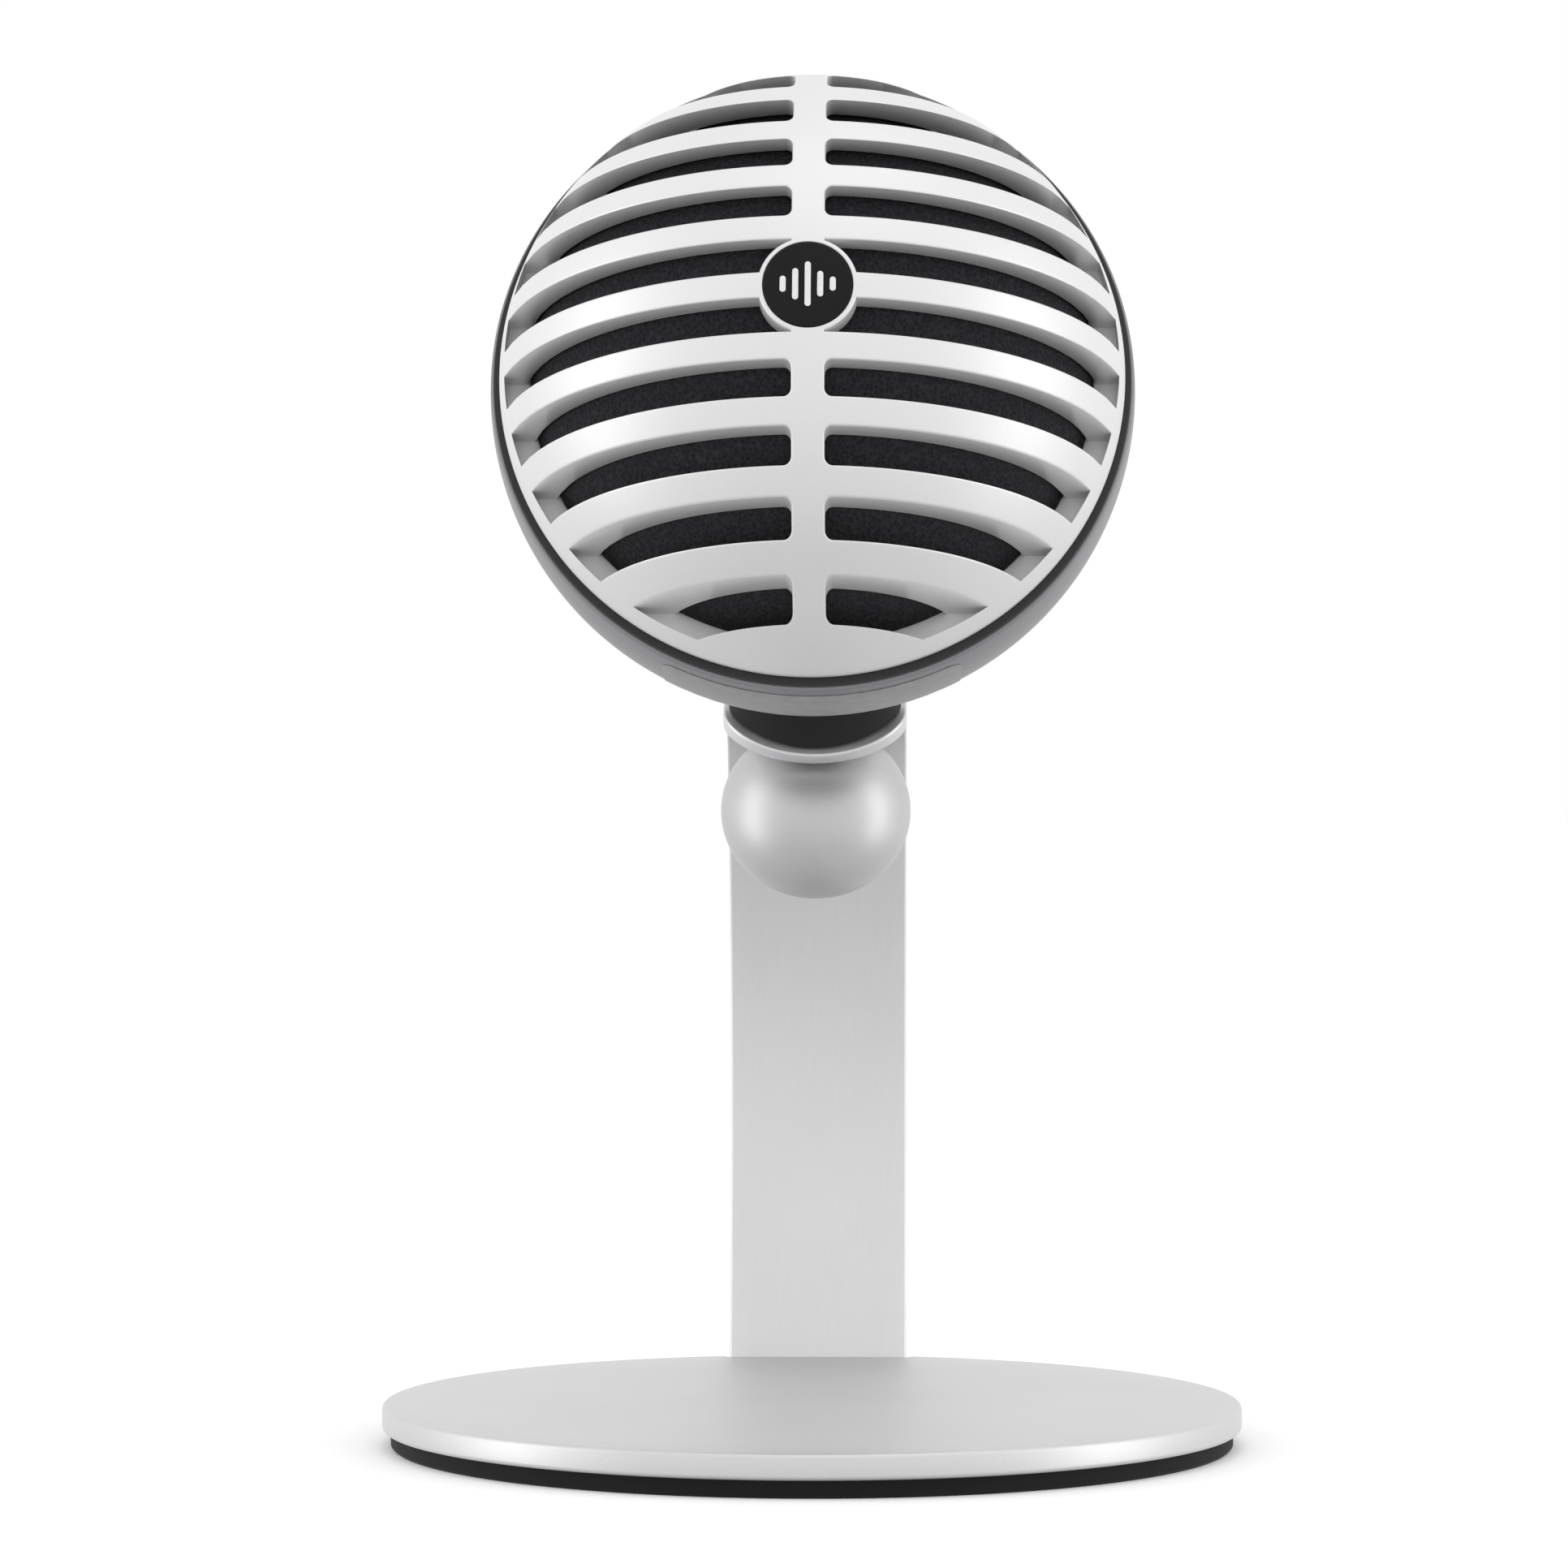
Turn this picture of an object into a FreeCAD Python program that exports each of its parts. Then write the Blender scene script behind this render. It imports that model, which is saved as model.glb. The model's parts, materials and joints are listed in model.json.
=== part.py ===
import FreeCAD, Part
import math
import os

# Desktop microphone: a ball-shaped head on a bent flat steel arm and a round weighted base.
# Frame: +Z up, the microphone faces -Y, the origin is the centre of the rubber pad's underside.
# The head is modelled in its own frame (face towards -Y, up +Z, centre of the grille's dome at
# the origin) and is then leaned back into place. Depths along the head are local Y.

os.makedirs("parts", exist_ok=True)
V = FreeCAD.Vector

# Base and arm
BASE_R = 44.5
PAD_R = 43.6
PAD_T = 1.8
DISC_T = 2.6
ARM_W = 19.8
ARM_T = 1.9
ARM_SWEEP_R = 71.0
ARM_BEND_R = 2.0
ARM_TAB_Z = 0.8
ARM_TAB_FRONT = 24.0
ARM_SCREW_Y = (29.0, 36.0)
ARM_SCREW_R = 1.5
ARM_SCREW_HEAD_R = 2.8
ARM_SCREW_HEAD_T = 1.3
ARM_SCREW_END = 0.6
NOTCH_GAP = 0.15
DISC_ROUND = 0.45
PAD_CHAMFER = 0.3

# Tilt joint: the curl of the arm, the ball and the head's foot share one centre
PIVOT_Y = 28.0
PIVOT_Z = 65.5
CURL_IN_R = 10.65
CURL_START = 35.0
CURL_TIP = 152.0
TIP_ROUND = 6.2
TILT_BACK = 40.0
TILT_FORWARD = 4.0
SLOT_HALF = 3.4
GAP = 0.3

# Ball knob and its threaded stud
BALL_R = 10.34
BALL_POLAR_R = 9.4
BALL_SIDE_R = 8.8
BALL_DIMPLE_R = 1.9
BALL_DIMPLE_DEPTH = 0.9
BALL_FLAT = 8.5
STUD_R = 3.05
STUD_BORE = 3.3
STUD_FIT = 0.07
STUD_BACK = -2.0
STUD_TOP = 23.0
STUD_CHAMFER = 0.5
WASHER_R = 4.6

# Head
HEAD_Y = 6.0
HEAD_Z = 109.6
HEAD_TILT = 14.7
GRILLE_R = 33.0
GRILLE_WALL = 2.8
GRILLE_EDGE = 4.2
SLOT_ROWS = 10
SLOT_PITCH = 6.2
SLOT_H = 3.5
SLOT_REACH_R = 31.8
SLOT_LEDGE = 5.0
SLOT_CORNER = 0.8
RIB_W = 3.3
BADGE_BOSS_R = 5.0
BADGE_R = 4.45
BADGE_FACE = 32.75
BADGE_T = 0.75
BADGE_CHAMFER = 0.15
BAR_W = 0.62
BAR_PITCH = 1.24
BAR_HEIGHTS = (1.7, 3.3, 4.7, 2.7, 1.5)
BAR_RAISE = 0.12
FOAM_GAP = 0.3
FOAM_T = 2.5
FOAM_POCKET_R = 2.3
FOAM_POCKET = 1.8
RING_IN_R = 30.0
RING_OUT_R = 33.25
RING_FLANGE_T = 0.7
RING_CHAMFER = 0.2
RING_SKIRT_R = 32.6
RING_BACK = 0.3
LIP_AHEAD = 3.4
FRAME_T = 2.0
FRAME_R = 32.0
HOUSING_R = 33.8
HOUSING_BACK_SHIFT = 0.7
HOUSING_WALL = 2.0
HOUSING_END = 27.0
PANEL_R = 20.4
PANEL_T = 1.6
PANEL_FACE = 26.8
LEDGE_T = 1.8
LEDGE_R = 18.0
HOUSING_POST_SIZE = 3.2
HOUSING_POST_END = 22.0
HOUSING_HOLE_END = 8.0
PANEL_POST_SIZE = 2.4
PANEL_POST_T = 3.6
PANEL_HOLE_T = 3.0
FOOT_X = 18.6
FOOT_Y = 13.6
INSERT_R = 4.5
INSERT_BASE = 17.1
INSERT_END = 24.0
INSERT_GROOVE = (19.9, 20.9)
INSERT_GROOVE_DEPTH = 0.4
BOSS_R = 7.0
BOSS_BASE = 10.0
PRESS_GAP = 0.05
LABEL_HALF = 15.5
LABEL_FROM = -1.8
LABEL_TO = 9.2
LABEL_T = 0.1
LABEL_ROUND = 1.6

# Inside the head
CAPSULE_R = 8.0
CAPSULE_BACK = -8.0
CAPSULE_FRONT = -14.0
CAN_WALL = 0.8
CAN_RECESS = 0.6
COVER_T = 0.5
COVER_HOLE_R = 0.7
COVER_RINGS = ((2.6, 6), (5.0, 12))
HOLDER_R = 10.5
HOLDER_SHORT = 1.0
HOLDER_LIP = 2.0
HOLDER_FLOOR = 1.5
HOLDER_GROOVE = (-7.6, -6.0)
HOLDER_GROOVE_DEPTH = 1.0
LEAD_R = 0.5
LEAD_X = 2.0
LEAD_HOLE_R = 3.4
SOUND_HOLE_R = 2.4
SOUND_HOLE_CIRCLE = 23.5
SOUND_HOLE_TURN = 22.5
BOARD_R = 22.5
BOARD_T = 1.6
MAIN_BOARD_Y = 9.0
MAIN_POST_R = 19.0
MAIN_POST_SIZE = 2.8
MAIN_HOLE_DEPTH = 5.0
BOARD_HOLE_R = 1.2
IO_BOARD_R = 17.7
IO_BOARD_Y = 19.4
IO_BOARD_FLAT = -13.5
HOUSING_POST_R = 26.5
PANEL_SCREW_X = 17.8
PILLAR_X = 12.5
PILLAR_Z = 9.0
PILLAR_SIZE = 2.4
PILLAR_HOLE = 5.2
HEADER_X = 4.5
HEADER_T = 2.2
HEADER_Z = (-2.0, 1.0)
CABLE_X = 4.0
CABLE_Z = (-0.8, -0.3)

# Parts on the main board: place across and up, width, height and thickness
CHIPS = (
    (-8.0, 6.0, 7.0, 7.0, 0.9),
    (7.0, 8.0, 5.0, 5.0, 0.9),
    (-10.0, -6.0, 4.0, 3.0, 1.1),
    (9.0, -3.0, 3.2, 2.5, 1.1),
    (2.0, 14.0, 2.2, 1.4, 1.0),
    (-14.0, 1.0, 2.0, 1.2, 0.8),
)

# Machine screws: head radius and height, shank radius and length
SHANK_R = 1.0
FRAME_SCREW = (1.9, 1.3, SHANK_R, 9.0)
BOARD_SCREW = (1.8, 1.2, SHANK_R, 5.8)
IO_SCREW = (1.8, 1.2, SHANK_R, 5.0)
PANEL_SCREW = (1.7, 0.8, SHANK_R, 3.8)
PANEL_SCREW_SEAT = 0.7
PANEL_SCREW_RECESS_R = 1.9

# Controls and sockets on the back panel
WHEEL_R = 7.0
WHEEL_T = 3.0
WHEEL_Y = 22.2
WHEEL_Z = 10.0
WHEEL_GROOVES = 36
WHEEL_GROOVE_R = 0.32
WHEEL_CHAMFER = 0.3
WHEEL_GAP = 0.5
BRACKET_WALL = 1.7
BRACKET_X = 9.0
BRACKET_OPEN_X = 7.6
AXLE_R = 1.15
AXLE_FIT = 0.05
BUTTON_X = 8.5
BUTTON_R = 2.4
BUTTON_FIT = 0.08
BUTTON_FACE = 27.8
BUTTON_FLANGE_R = 3.3
BUTTON_FLANGE_T = 1.0
BUTTON_ROUND = 0.35
SWITCH_HALF = 2.2
SWITCH_T = 1.5
PLUNGER_R = 1.1
PLUNGER_END = 2.1
SOCKET_Z = -9.0
SOCKET_X = 7.5
USB_W = 9.0
USB_H = 3.3
USB_WALL = 0.35
USB_TONGUE_X = 3.3
USB_TONGUE_Z = 0.35
USB_TONGUE_SHORT = 0.6
JACK_R = 3.0
JACK_BODY_X = 4.0
JACK_BODY_Z = 3.8
JACK_BODY_BACK = 1.4
JACK_BORE_R = 1.78
JACK_DEPTH = 14.0
LED_R = 0.9
LED_Z = 4.2
LED_X = 2.4

DISC_TOP = PAD_T + DISC_T
SWEEP_TO_CURL = ARM_SWEEP_R - CURL_IN_R - ARM_T / 2
SWEEP_Y = PIVOT_Y - SWEEP_TO_CURL * math.cos(math.radians(CURL_START))
SWEEP_Z = PIVOT_Z - SWEEP_TO_CURL * math.sin(math.radians(CURL_START))
PANEL_BACK = PANEL_FACE - PANEL_T
FRAME_FRONT = -RING_BACK - FRAME_T
STUD_LEAN = math.degrees(math.atan2(PIVOT_Y - HEAD_Y, HEAD_Z - PIVOT_Z))

X_AXIS = V(1, 0, 0)
Y_AXIS = V(0, 1, 0)
Z_AXIS = V(0, 0, 1)
ORIGIN = V(0, 0, 0)
STAND = FreeCAD.Placement()
HEAD = FreeCAD.Placement(V(0, HEAD_Y, HEAD_Z), FreeCAD.Rotation(X_AXIS, -HEAD_TILT))
STUD = FreeCAD.Placement(V(0, PIVOT_Y, PIVOT_Z), FreeCAD.Rotation(X_AXIS, STUD_LEAN))
STUD_IN_HEAD = HEAD.inverse().multiply(STUD)


def put(shape, place):
    """A copy of a shape, moved from a local frame into its parent frame."""
    moved = shape.copy()
    moved.Placement = place.multiply(shape.Placement)
    return moved


def save(name, shape, place=STAND):
    """Writes one sub-part in the model's frame."""
    put(shape, place).exportStep("parts/" + name + ".step")


def rod(radius, y0, y1, x=0.0, z=0.0):
    """A cylinder along the local Y axis, between two depths."""
    return Part.makeCylinder(radius, y1 - y0, V(x, y0, z), Y_AXIS)


def post(radius, z0, z1, x=0.0, y=0.0):
    """A cylinder along the local Z axis, between two heights."""
    return Part.makeCylinder(radius, z1 - z0, V(x, y, z0), Z_AXIS)


def block(x0, x1, y0, y1, z0, z1):
    """A box between six planes."""
    return Part.makeBox(x1 - x0, y1 - y0, z1 - z0, V(x0, y0, z0))


def outline(start, *moves):
    """A closed face from lines and arcs: a move is an end point, or (point on the arc, end point)."""
    edges = []
    here = start
    for move in moves + (start,):
        if isinstance(move, tuple):
            edges.append(Part.Arc(here, move[0], move[1]).toShape())
            here = move[1]
        elif (move - here).Length > 1e-6:
            edges.append(Part.LineSegment(here, move).toShape())
            here = move
    return Part.Face(Part.Wire(edges))


def turned(*points):
    """A ring turned about the local Y axis from (radius, distance in front of the centre) corners."""
    corners = [V(radius, -ahead, 0) for radius, ahead in points]
    return outline(*corners).revolve(ORIGIN, Y_AXIS, 360)


def rounded_bar(width, height, y0, y1, x=0.0, z=0.0):
    """A bar along local Y whose section is a rectangle with its short sides fully rounded."""
    half_w = width / 2
    half_h = height / 2
    if width > height:
        reach = half_w - half_h
        face = outline(
            V(x - reach, y0, z - half_h),
            V(x + reach, y0, z - half_h),
            (V(x + half_w, y0, z), V(x + reach, y0, z + half_h)),
            V(x - reach, y0, z + half_h),
            (V(x - half_w, y0, z), V(x - reach, y0, z - half_h)),
        )
    else:
        reach = half_h - half_w
        face = outline(
            V(x + half_w, y0, z - reach),
            V(x + half_w, y0, z + reach),
            (V(x, y0, z + half_h), V(x - half_w, y0, z + reach)),
            V(x - half_w, y0, z - reach),
            (V(x, y0, z - half_h), V(x + half_w, y0, z - reach)),
        )
    return face.extrude(V(0, y1 - y0, 0))


def fuse_all(shapes):
    """One solid from overlapping shapes."""
    whole = shapes[0]
    for shape in shapes[1:]:
        whole = whole.fuse(shape)
    return whole.removeSplitter()


def group(shapes):
    """Separate solids that share a node."""
    return Part.makeCompound(shapes)


def around(angle, radius, centre=(0.0, 0.0)):
    """The point at an angle, in degrees, on a circle."""
    turn = math.radians(angle)
    return centre[0] + radius * math.cos(turn), centre[1] + radius * math.sin(turn)


def side(point):
    """A point of the arm's side view, given as (depth, height)."""
    return V(0, point[0], point[1])


def machine_screw(head_r, head_t, shank_r, length, cross):
    """A pan-head screw along +Z from the underside of its head at the origin, with a cross recess."""
    rim = head_t * 0.3
    head = outline(
        ORIGIN,
        V(head_r, 0, 0),
        V(head_r, 0, rim - head_t),
        V(head_r - rim, 0, -head_t),
        V(0, 0, -head_t),
    ).revolve(ORIGIN, Z_AXIS, 360)
    reach = head_r * 0.62
    slot_w = head_r * 0.2
    if cross:
        head = head.cut(block(-reach, reach, -slot_w, slot_w, -head_t, -head_t * 0.4))
        head = head.cut(block(-slot_w, slot_w, -reach, reach, -head_t, -head_t * 0.4))
    return fuse_all([head, post(shank_r, -0.1, length)])


def screw_from(x, y, z, direction, *sizes):
    """A machine screw whose head bears at a point and whose shank runs along a direction."""
    place = FreeCAD.Placement(V(x, y, z), FreeCAD.Rotation(Z_AXIS, direction))
    return put(machine_screw(*sizes), place)


# ---------------------------------------------------------------- base and arm


def arm_side_view():
    """The bent strip seen from the side: tab, bend, long sweep and curl."""
    half = ARM_T / 2
    tab_mid = ARM_TAB_Z + half
    bend_z = tab_mid + ARM_BEND_R
    run = ARM_SWEEP_R - ARM_BEND_R
    bend_y = SWEEP_Y + math.sqrt(run ** 2 - (SWEEP_Z - bend_z) ** 2)
    low = math.degrees(math.atan2(bend_z - SWEEP_Z, bend_y - SWEEP_Y))
    bend = (bend_y, bend_z)
    sweep = (SWEEP_Y, SWEEP_Z)
    pivot = (PIVOT_Y, PIVOT_Z)
    mid_sweep = (low + CURL_START) / 2
    mid_curl = (CURL_START + CURL_TIP) / 2
    mid_bend = (low - 90) / 2
    out_r = CURL_IN_R + ARM_T
    return outline(
        V(0, ARM_TAB_FRONT, ARM_TAB_Z),
        V(0, bend_y, ARM_TAB_Z),
        (side(around(mid_bend, ARM_BEND_R + half, bend)), side(around(low, ARM_BEND_R + half, bend))),
        (side(around(mid_sweep, ARM_SWEEP_R + half, sweep)),
         side(around(CURL_START, ARM_SWEEP_R + half, sweep))),
        (side(around(mid_curl, out_r, pivot)), side(around(CURL_TIP, out_r, pivot))),
        side(around(CURL_TIP, CURL_IN_R, pivot)),
        (side(around(mid_curl, CURL_IN_R, pivot)), side(around(CURL_START, CURL_IN_R, pivot))),
        (side(around(mid_sweep, ARM_SWEEP_R - half, sweep)),
         side(around(low, ARM_SWEEP_R - half, sweep))),
        (side(around(mid_bend, ARM_BEND_R - half, bend)),
         V(0, bend_y, ARM_TAB_Z + ARM_T)),
        V(0, ARM_TAB_FRONT, ARM_TAB_Z + ARM_T),
    )


def stud_slot():
    """The curl's slot: the stud at both tilt limits, and the sector between them."""
    rest = 90 + STUD_LEAN
    limits = (rest - TILT_BACK, rest + TILT_FORWARD)
    reach = CURL_IN_R + ARM_T + 3.0
    pivot = (PIVOT_Y, PIVOT_Z)
    ends = []
    for angle in limits:
        far = side(around(angle, 1.0))
        ends.append(Part.makeCylinder(SLOT_HALF, reach, V(0, PIVOT_Y, PIVOT_Z), far))
    sector = outline(
        V(-SLOT_HALF, PIVOT_Y, PIVOT_Z),
        V(-SLOT_HALF, 0, 0) + side(around(limits[0], reach, pivot)),
        V(-SLOT_HALF, 0, 0) + side(around(sum(limits) / 2, reach * 1.1, pivot)),
        V(-SLOT_HALF, 0, 0) + side(around(limits[1], reach, pivot)),
    )
    return fuse_all(ends + [sector.extrude(V(2 * SLOT_HALF, 0, 0))])


def tip_trim():
    """What is cut off the curl's end to leave it half-elliptical in plan."""
    middle_r = CURL_IN_R + ARM_T / 2
    round_start = CURL_TIP - math.degrees(TIP_ROUND / middle_r)
    facing = (round_start + CURL_TIP) / 2
    start = -middle_r * math.sin(math.radians(facing - round_start))
    place = FreeCAD.Placement(
        V(0, PIVOT_Y, PIVOT_Z), FreeCAD.Rotation(X_AXIS, facing - 90)
    )
    waste = block(-ARM_W, ARM_W, -20.0, -start, CURL_IN_R / 2, CURL_IN_R + ARM_T + 4.0)
    ellipse = Part.Ellipse(V(0, -start, 0), ARM_W / 2 + 0.05, TIP_ROUND)
    keep = Part.Face(Part.Wire([ellipse.toShape()])).extrude(V(0, 0, CURL_IN_R + ARM_T + 5.0))
    return put(waste.cut(keep), place)


def stand_arm():
    """The steel strip, with a slot for the stud and two countersunk holes in its tab."""
    strip = arm_side_view().extrude(V(ARM_W, 0, 0))
    strip.translate(V(-ARM_W / 2, 0, 0))
    strip = strip.cut(stud_slot()).cut(tip_trim())
    for y in ARM_SCREW_Y:
        strip = strip.cut(arm_screw(y, PRESS_GAP))
    return strip


def arm_screw(y, extra=0.0):
    """A countersunk screw up through the tab into the disc; extra widens it into its hole."""
    head = Part.makeCone(ARM_SCREW_HEAD_R + extra, ARM_SCREW_R + extra, ARM_SCREW_HEAD_T,
                         V(0, y, ARM_TAB_Z), Z_AXIS)
    shank = post(ARM_SCREW_R + extra, ARM_TAB_Z + ARM_SCREW_HEAD_T - 0.1,
                 DISC_TOP - ARM_SCREW_END + extra, 0.0, y)
    return fuse_all([head, shank])


def base_disc():
    """The turned steel disc, rounded at its top edge, pocketed and notched for the arm."""
    disc = post(BASE_R, PAD_T, DISC_TOP)
    top_edges = [e for e in disc.Edges if e.CenterOfMass.z > DISC_TOP - 0.1 and len(e.Vertexes) == 1]
    disc = disc.makeFillet(DISC_ROUND, top_edges)
    half = ARM_W / 2 + NOTCH_GAP
    notch_front = SWEEP_Y + math.sqrt(
        (ARM_SWEEP_R - ARM_BEND_R) ** 2 - (SWEEP_Z - ARM_TAB_Z - ARM_T / 2 - ARM_BEND_R) ** 2
    )
    disc = disc.cut(block(-half, half, notch_front - 0.05, BASE_R + 1, 0, DISC_TOP + 1))
    disc = disc.cut(block(-half, half, ARM_TAB_FRONT - 0.1, BASE_R + 1, 0, ARM_TAB_Z + ARM_T))
    for y in ARM_SCREW_Y:
        disc = disc.cut(arm_screw(y, PRESS_GAP))
    return disc


def base_pad():
    """The rubber pad under the disc, with a pocket for the arm's tab."""
    pad = post(PAD_R, 0.0, PAD_T)
    low_edges = [e for e in pad.Edges if e.CenterOfMass.z < 0.1 and len(e.Vertexes) == 1]
    pad = pad.makeChamfer(PAD_CHAMFER, low_edges)
    half = ARM_W / 2 + NOTCH_GAP
    return pad.cut(block(-half, half, ARM_TAB_FRONT - 0.1, BASE_R + 1, ARM_TAB_Z, PAD_T + 1))


# ---------------------------------------------------------------- ball knob, in the stud's frame


def ball_knob():
    """The turned ball, flattened under the washer, bored for the stud, dimpled at its far end."""
    end_r = (BALL_R ** 2 + BALL_POLAR_R ** 2 - 2 * BALL_R * BALL_SIDE_R) / (2 * (BALL_POLAR_R - BALL_SIDE_R))
    side_out = BALL_R - BALL_SIDE_R
    end_down = end_r - BALL_POLAR_R
    join = math.degrees(math.atan2(end_down, side_out))
    flat_rise = math.degrees(math.asin((BALL_FLAT + end_down) / end_r))

    def on_side(angle):
        r, z = around(angle, BALL_SIDE_R)
        return V(side_out + r, 0, z)

    def on_end(angle, way):
        r, z = around(angle, end_r)
        return V(r, 0, way * (z - end_down))

    profile = outline(
        V(0, 0, -BALL_POLAR_R),
        (on_end((90 + join) / 2, -1), on_end(join, -1)),
        (on_side(0), on_side(join)),
        (on_end((join + flat_rise) / 2, 1), on_end(flat_rise, 1)),
        V(0, 0, BALL_FLAT),
    )
    knob = profile.revolve(ORIGIN, Z_AXIS, 360)
    knob = knob.cut(post(STUD_R, STUD_BACK, BALL_FLAT + 1))
    return knob.cut(post(BALL_DIMPLE_R, -BALL_POLAR_R - 1, -BALL_POLAR_R + BALL_DIMPLE_DEPTH))


def knob_stud():
    """The threaded stud fixed in the ball."""
    stud = post(STUD_R, STUD_BACK, STUD_TOP)
    end = [e for e in stud.Edges if e.CenterOfMass.z > STUD_TOP - 0.1 and len(e.Vertexes) == 1]
    return stud.makeChamfer(STUD_CHAMFER, end)


def saddle_washer():
    """The nylon washer between ball and curl, curved to the curl on top and flat below."""
    washer = post(WASHER_R, BALL_FLAT + GAP, CURL_IN_R)
    washer = washer.common(Part.makeCylinder(CURL_IN_R - GAP, 40, V(-20, 0, 0), X_AXIS))
    return washer.cut(post(STUD_BORE, 0, CURL_IN_R + 1))


# ---------------------------------------------------------------- head shell, in the head's frame


def ball(radius, y=0.0):
    """A solid ball centred on the head's axis, with its poles on that axis."""
    return Part.makeSphere(radius, V(0, y, 0), Y_AXIS)


def grille_slots():
    """The openings of the grille: rows of half slots each side of the rib, clear of the badge."""
    span = GRILLE_R + 2
    halves = []
    for row in range(SLOT_ROWS):
        z = (row - (SLOT_ROWS - 1) / 2) * SLOT_PITCH
        half = block(RIB_W / 2, span, -span, -SLOT_LEDGE, z - SLOT_H / 2, z + SLOT_H / 2)
        inner = [e for e in half.Edges
                 if abs(e.CenterOfMass.x - RIB_W / 2) < 1e-3 and abs(e.CenterOfMass.y + SLOT_LEDGE) > 1
                 and abs(e.CenterOfMass.y + span) > 1]
        half = half.makeFillet(SLOT_CORNER, inner)
        halves.append(half)
        halves.append(half.mirror(ORIGIN, X_AXIS))
    reach = rod(SLOT_REACH_R, -span, -SLOT_LEDGE)
    boss = rod(BADGE_BOSS_R, -span, -SLOT_LEDGE + 1)
    cutters = []
    for half in halves:
        cutters.append(half.common(reach).cut(boss))
    return cutters


def grille_dome():
    """The slotted dome with its badge seat."""
    shell = ball(GRILLE_R).cut(ball(GRILLE_R - GRILLE_WALL))
    shell = shell.common(rod(GRILLE_R + 1, -GRILLE_R - 1, -GRILLE_EDGE))
    for cutter in grille_slots():
        shell = shell.cut(cutter)
    seat = rod(BADGE_R + PRESS_GAP, -GRILLE_R - 1, -BADGE_FACE + BADGE_T)
    return shell.cut(seat)


def badge_disc():
    """The small disc let into the middle of the grille."""
    disc = rod(BADGE_R, -BADGE_FACE, -BADGE_FACE + BADGE_T)
    rim = [e for e in disc.Edges if e.CenterOfMass.y < -BADGE_FACE + 0.1 and len(e.Vertexes) == 1]
    return disc.makeChamfer(BADGE_CHAMFER, rim)


def badge_bars():
    """A sound-level figure of upright bars on the badge."""
    bars = []
    for place, height in enumerate(BAR_HEIGHTS):
        x = (place - (len(BAR_HEIGHTS) - 1) / 2) * BAR_PITCH
        bars.append(rounded_bar(BAR_W, height, -BADGE_FACE - BAR_RAISE, -BADGE_FACE, x))
    return group(bars)


def grille_foam():
    """The foam lining behind the grille, with pockets for the frame's screw heads."""
    outer = GRILLE_R - GRILLE_WALL - FOAM_GAP
    lining = ball(outer).cut(ball(outer - FOAM_T))
    lining = lining.common(rod(GRILLE_R, -GRILLE_R, FRAME_FRONT))
    for x, z in corner_points(HOUSING_POST_R):
        lining = lining.cut(rod(FOAM_POCKET_R, FRAME_FRONT - FOAM_POCKET, FRAME_FRONT + 1, x, z))
    return lining


def trim_ring():
    """The dark ring between grille and housing: a flange and a skirt, rebated for the frame."""
    rebate = FRAME_R + PRESS_GAP
    return turned(
        (RING_IN_R, GRILLE_EDGE),
        (RING_OUT_R - RING_CHAMFER, GRILLE_EDGE),
        (RING_OUT_R, GRILLE_EDGE - RING_CHAMFER),
        (RING_OUT_R, GRILLE_EDGE - RING_FLANGE_T),
        (RING_SKIRT_R, GRILLE_EDGE - RING_FLANGE_T),
        (RING_SKIRT_R, RING_BACK),
        (rebate, RING_BACK),
        (rebate, -FRAME_FRONT),
        (RING_IN_R, -FRAME_FRONT),
    )


def corner_points(radius):
    """Four places at the corners of a square, on a circle round the head's axis."""
    return [around(45 + 90 * n, radius) for n in range(4)]


def housing_ball():
    """The solid outside form of the rear housing."""
    solid = ball(HOUSING_R, HOUSING_BACK_SHIFT)
    return solid.common(rod(HOUSING_R + 1, -LIP_AHEAD, HOUSING_END))


def rear_housing():
    """The rear shell with its lip, screw posts, panel seat and the boss for the thread insert."""
    ledge_front = PANEL_BACK - LEDGE_T
    form = housing_ball()
    hollow = ball(HOUSING_R - HOUSING_WALL, HOUSING_BACK_SHIFT).common(rod(HOUSING_R, -10, ledge_front))
    shell = form.cut(hollow).cut(rod(LEDGE_R, ledge_front - 1, HOUSING_END + 1))
    shell = shell.cut(rod(RING_SKIRT_R + PRESS_GAP, -LIP_AHEAD - 1, -RING_BACK))
    added = []
    for x, z in corner_points(HOUSING_POST_R):
        added.append(rod(HOUSING_POST_SIZE, -RING_BACK, HOUSING_POST_END, x, z).common(form))
    for x in (-PANEL_SCREW_X, PANEL_SCREW_X):
        added.append(rod(PANEL_POST_SIZE, PANEL_BACK - PANEL_POST_T, PANEL_BACK, x))
    added.append(put(post(BOSS_R, BOSS_BASE, INSERT_END), STUD_IN_HEAD).common(form))
    shell = fuse_all([shell] + added)
    shell = shell.cut(rod(PANEL_R + PRESS_GAP, PANEL_BACK, HOUSING_END + 1))
    shell = shell.cut(put(post(INSERT_R + PRESS_GAP, 5.0, INSERT_END + 1), STUD_IN_HEAD))
    for x, z in corner_points(HOUSING_POST_R):
        shell = shell.cut(rod(SHANK_R + PRESS_GAP, -1, HOUSING_HOLE_END, x, z))
    for x in (-PANEL_SCREW_X, PANEL_SCREW_X):
        shell = shell.cut(rod(SHANK_R + PRESS_GAP, PANEL_BACK - PANEL_HOLE_T, PANEL_BACK + 1, x))
    return shell


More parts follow.
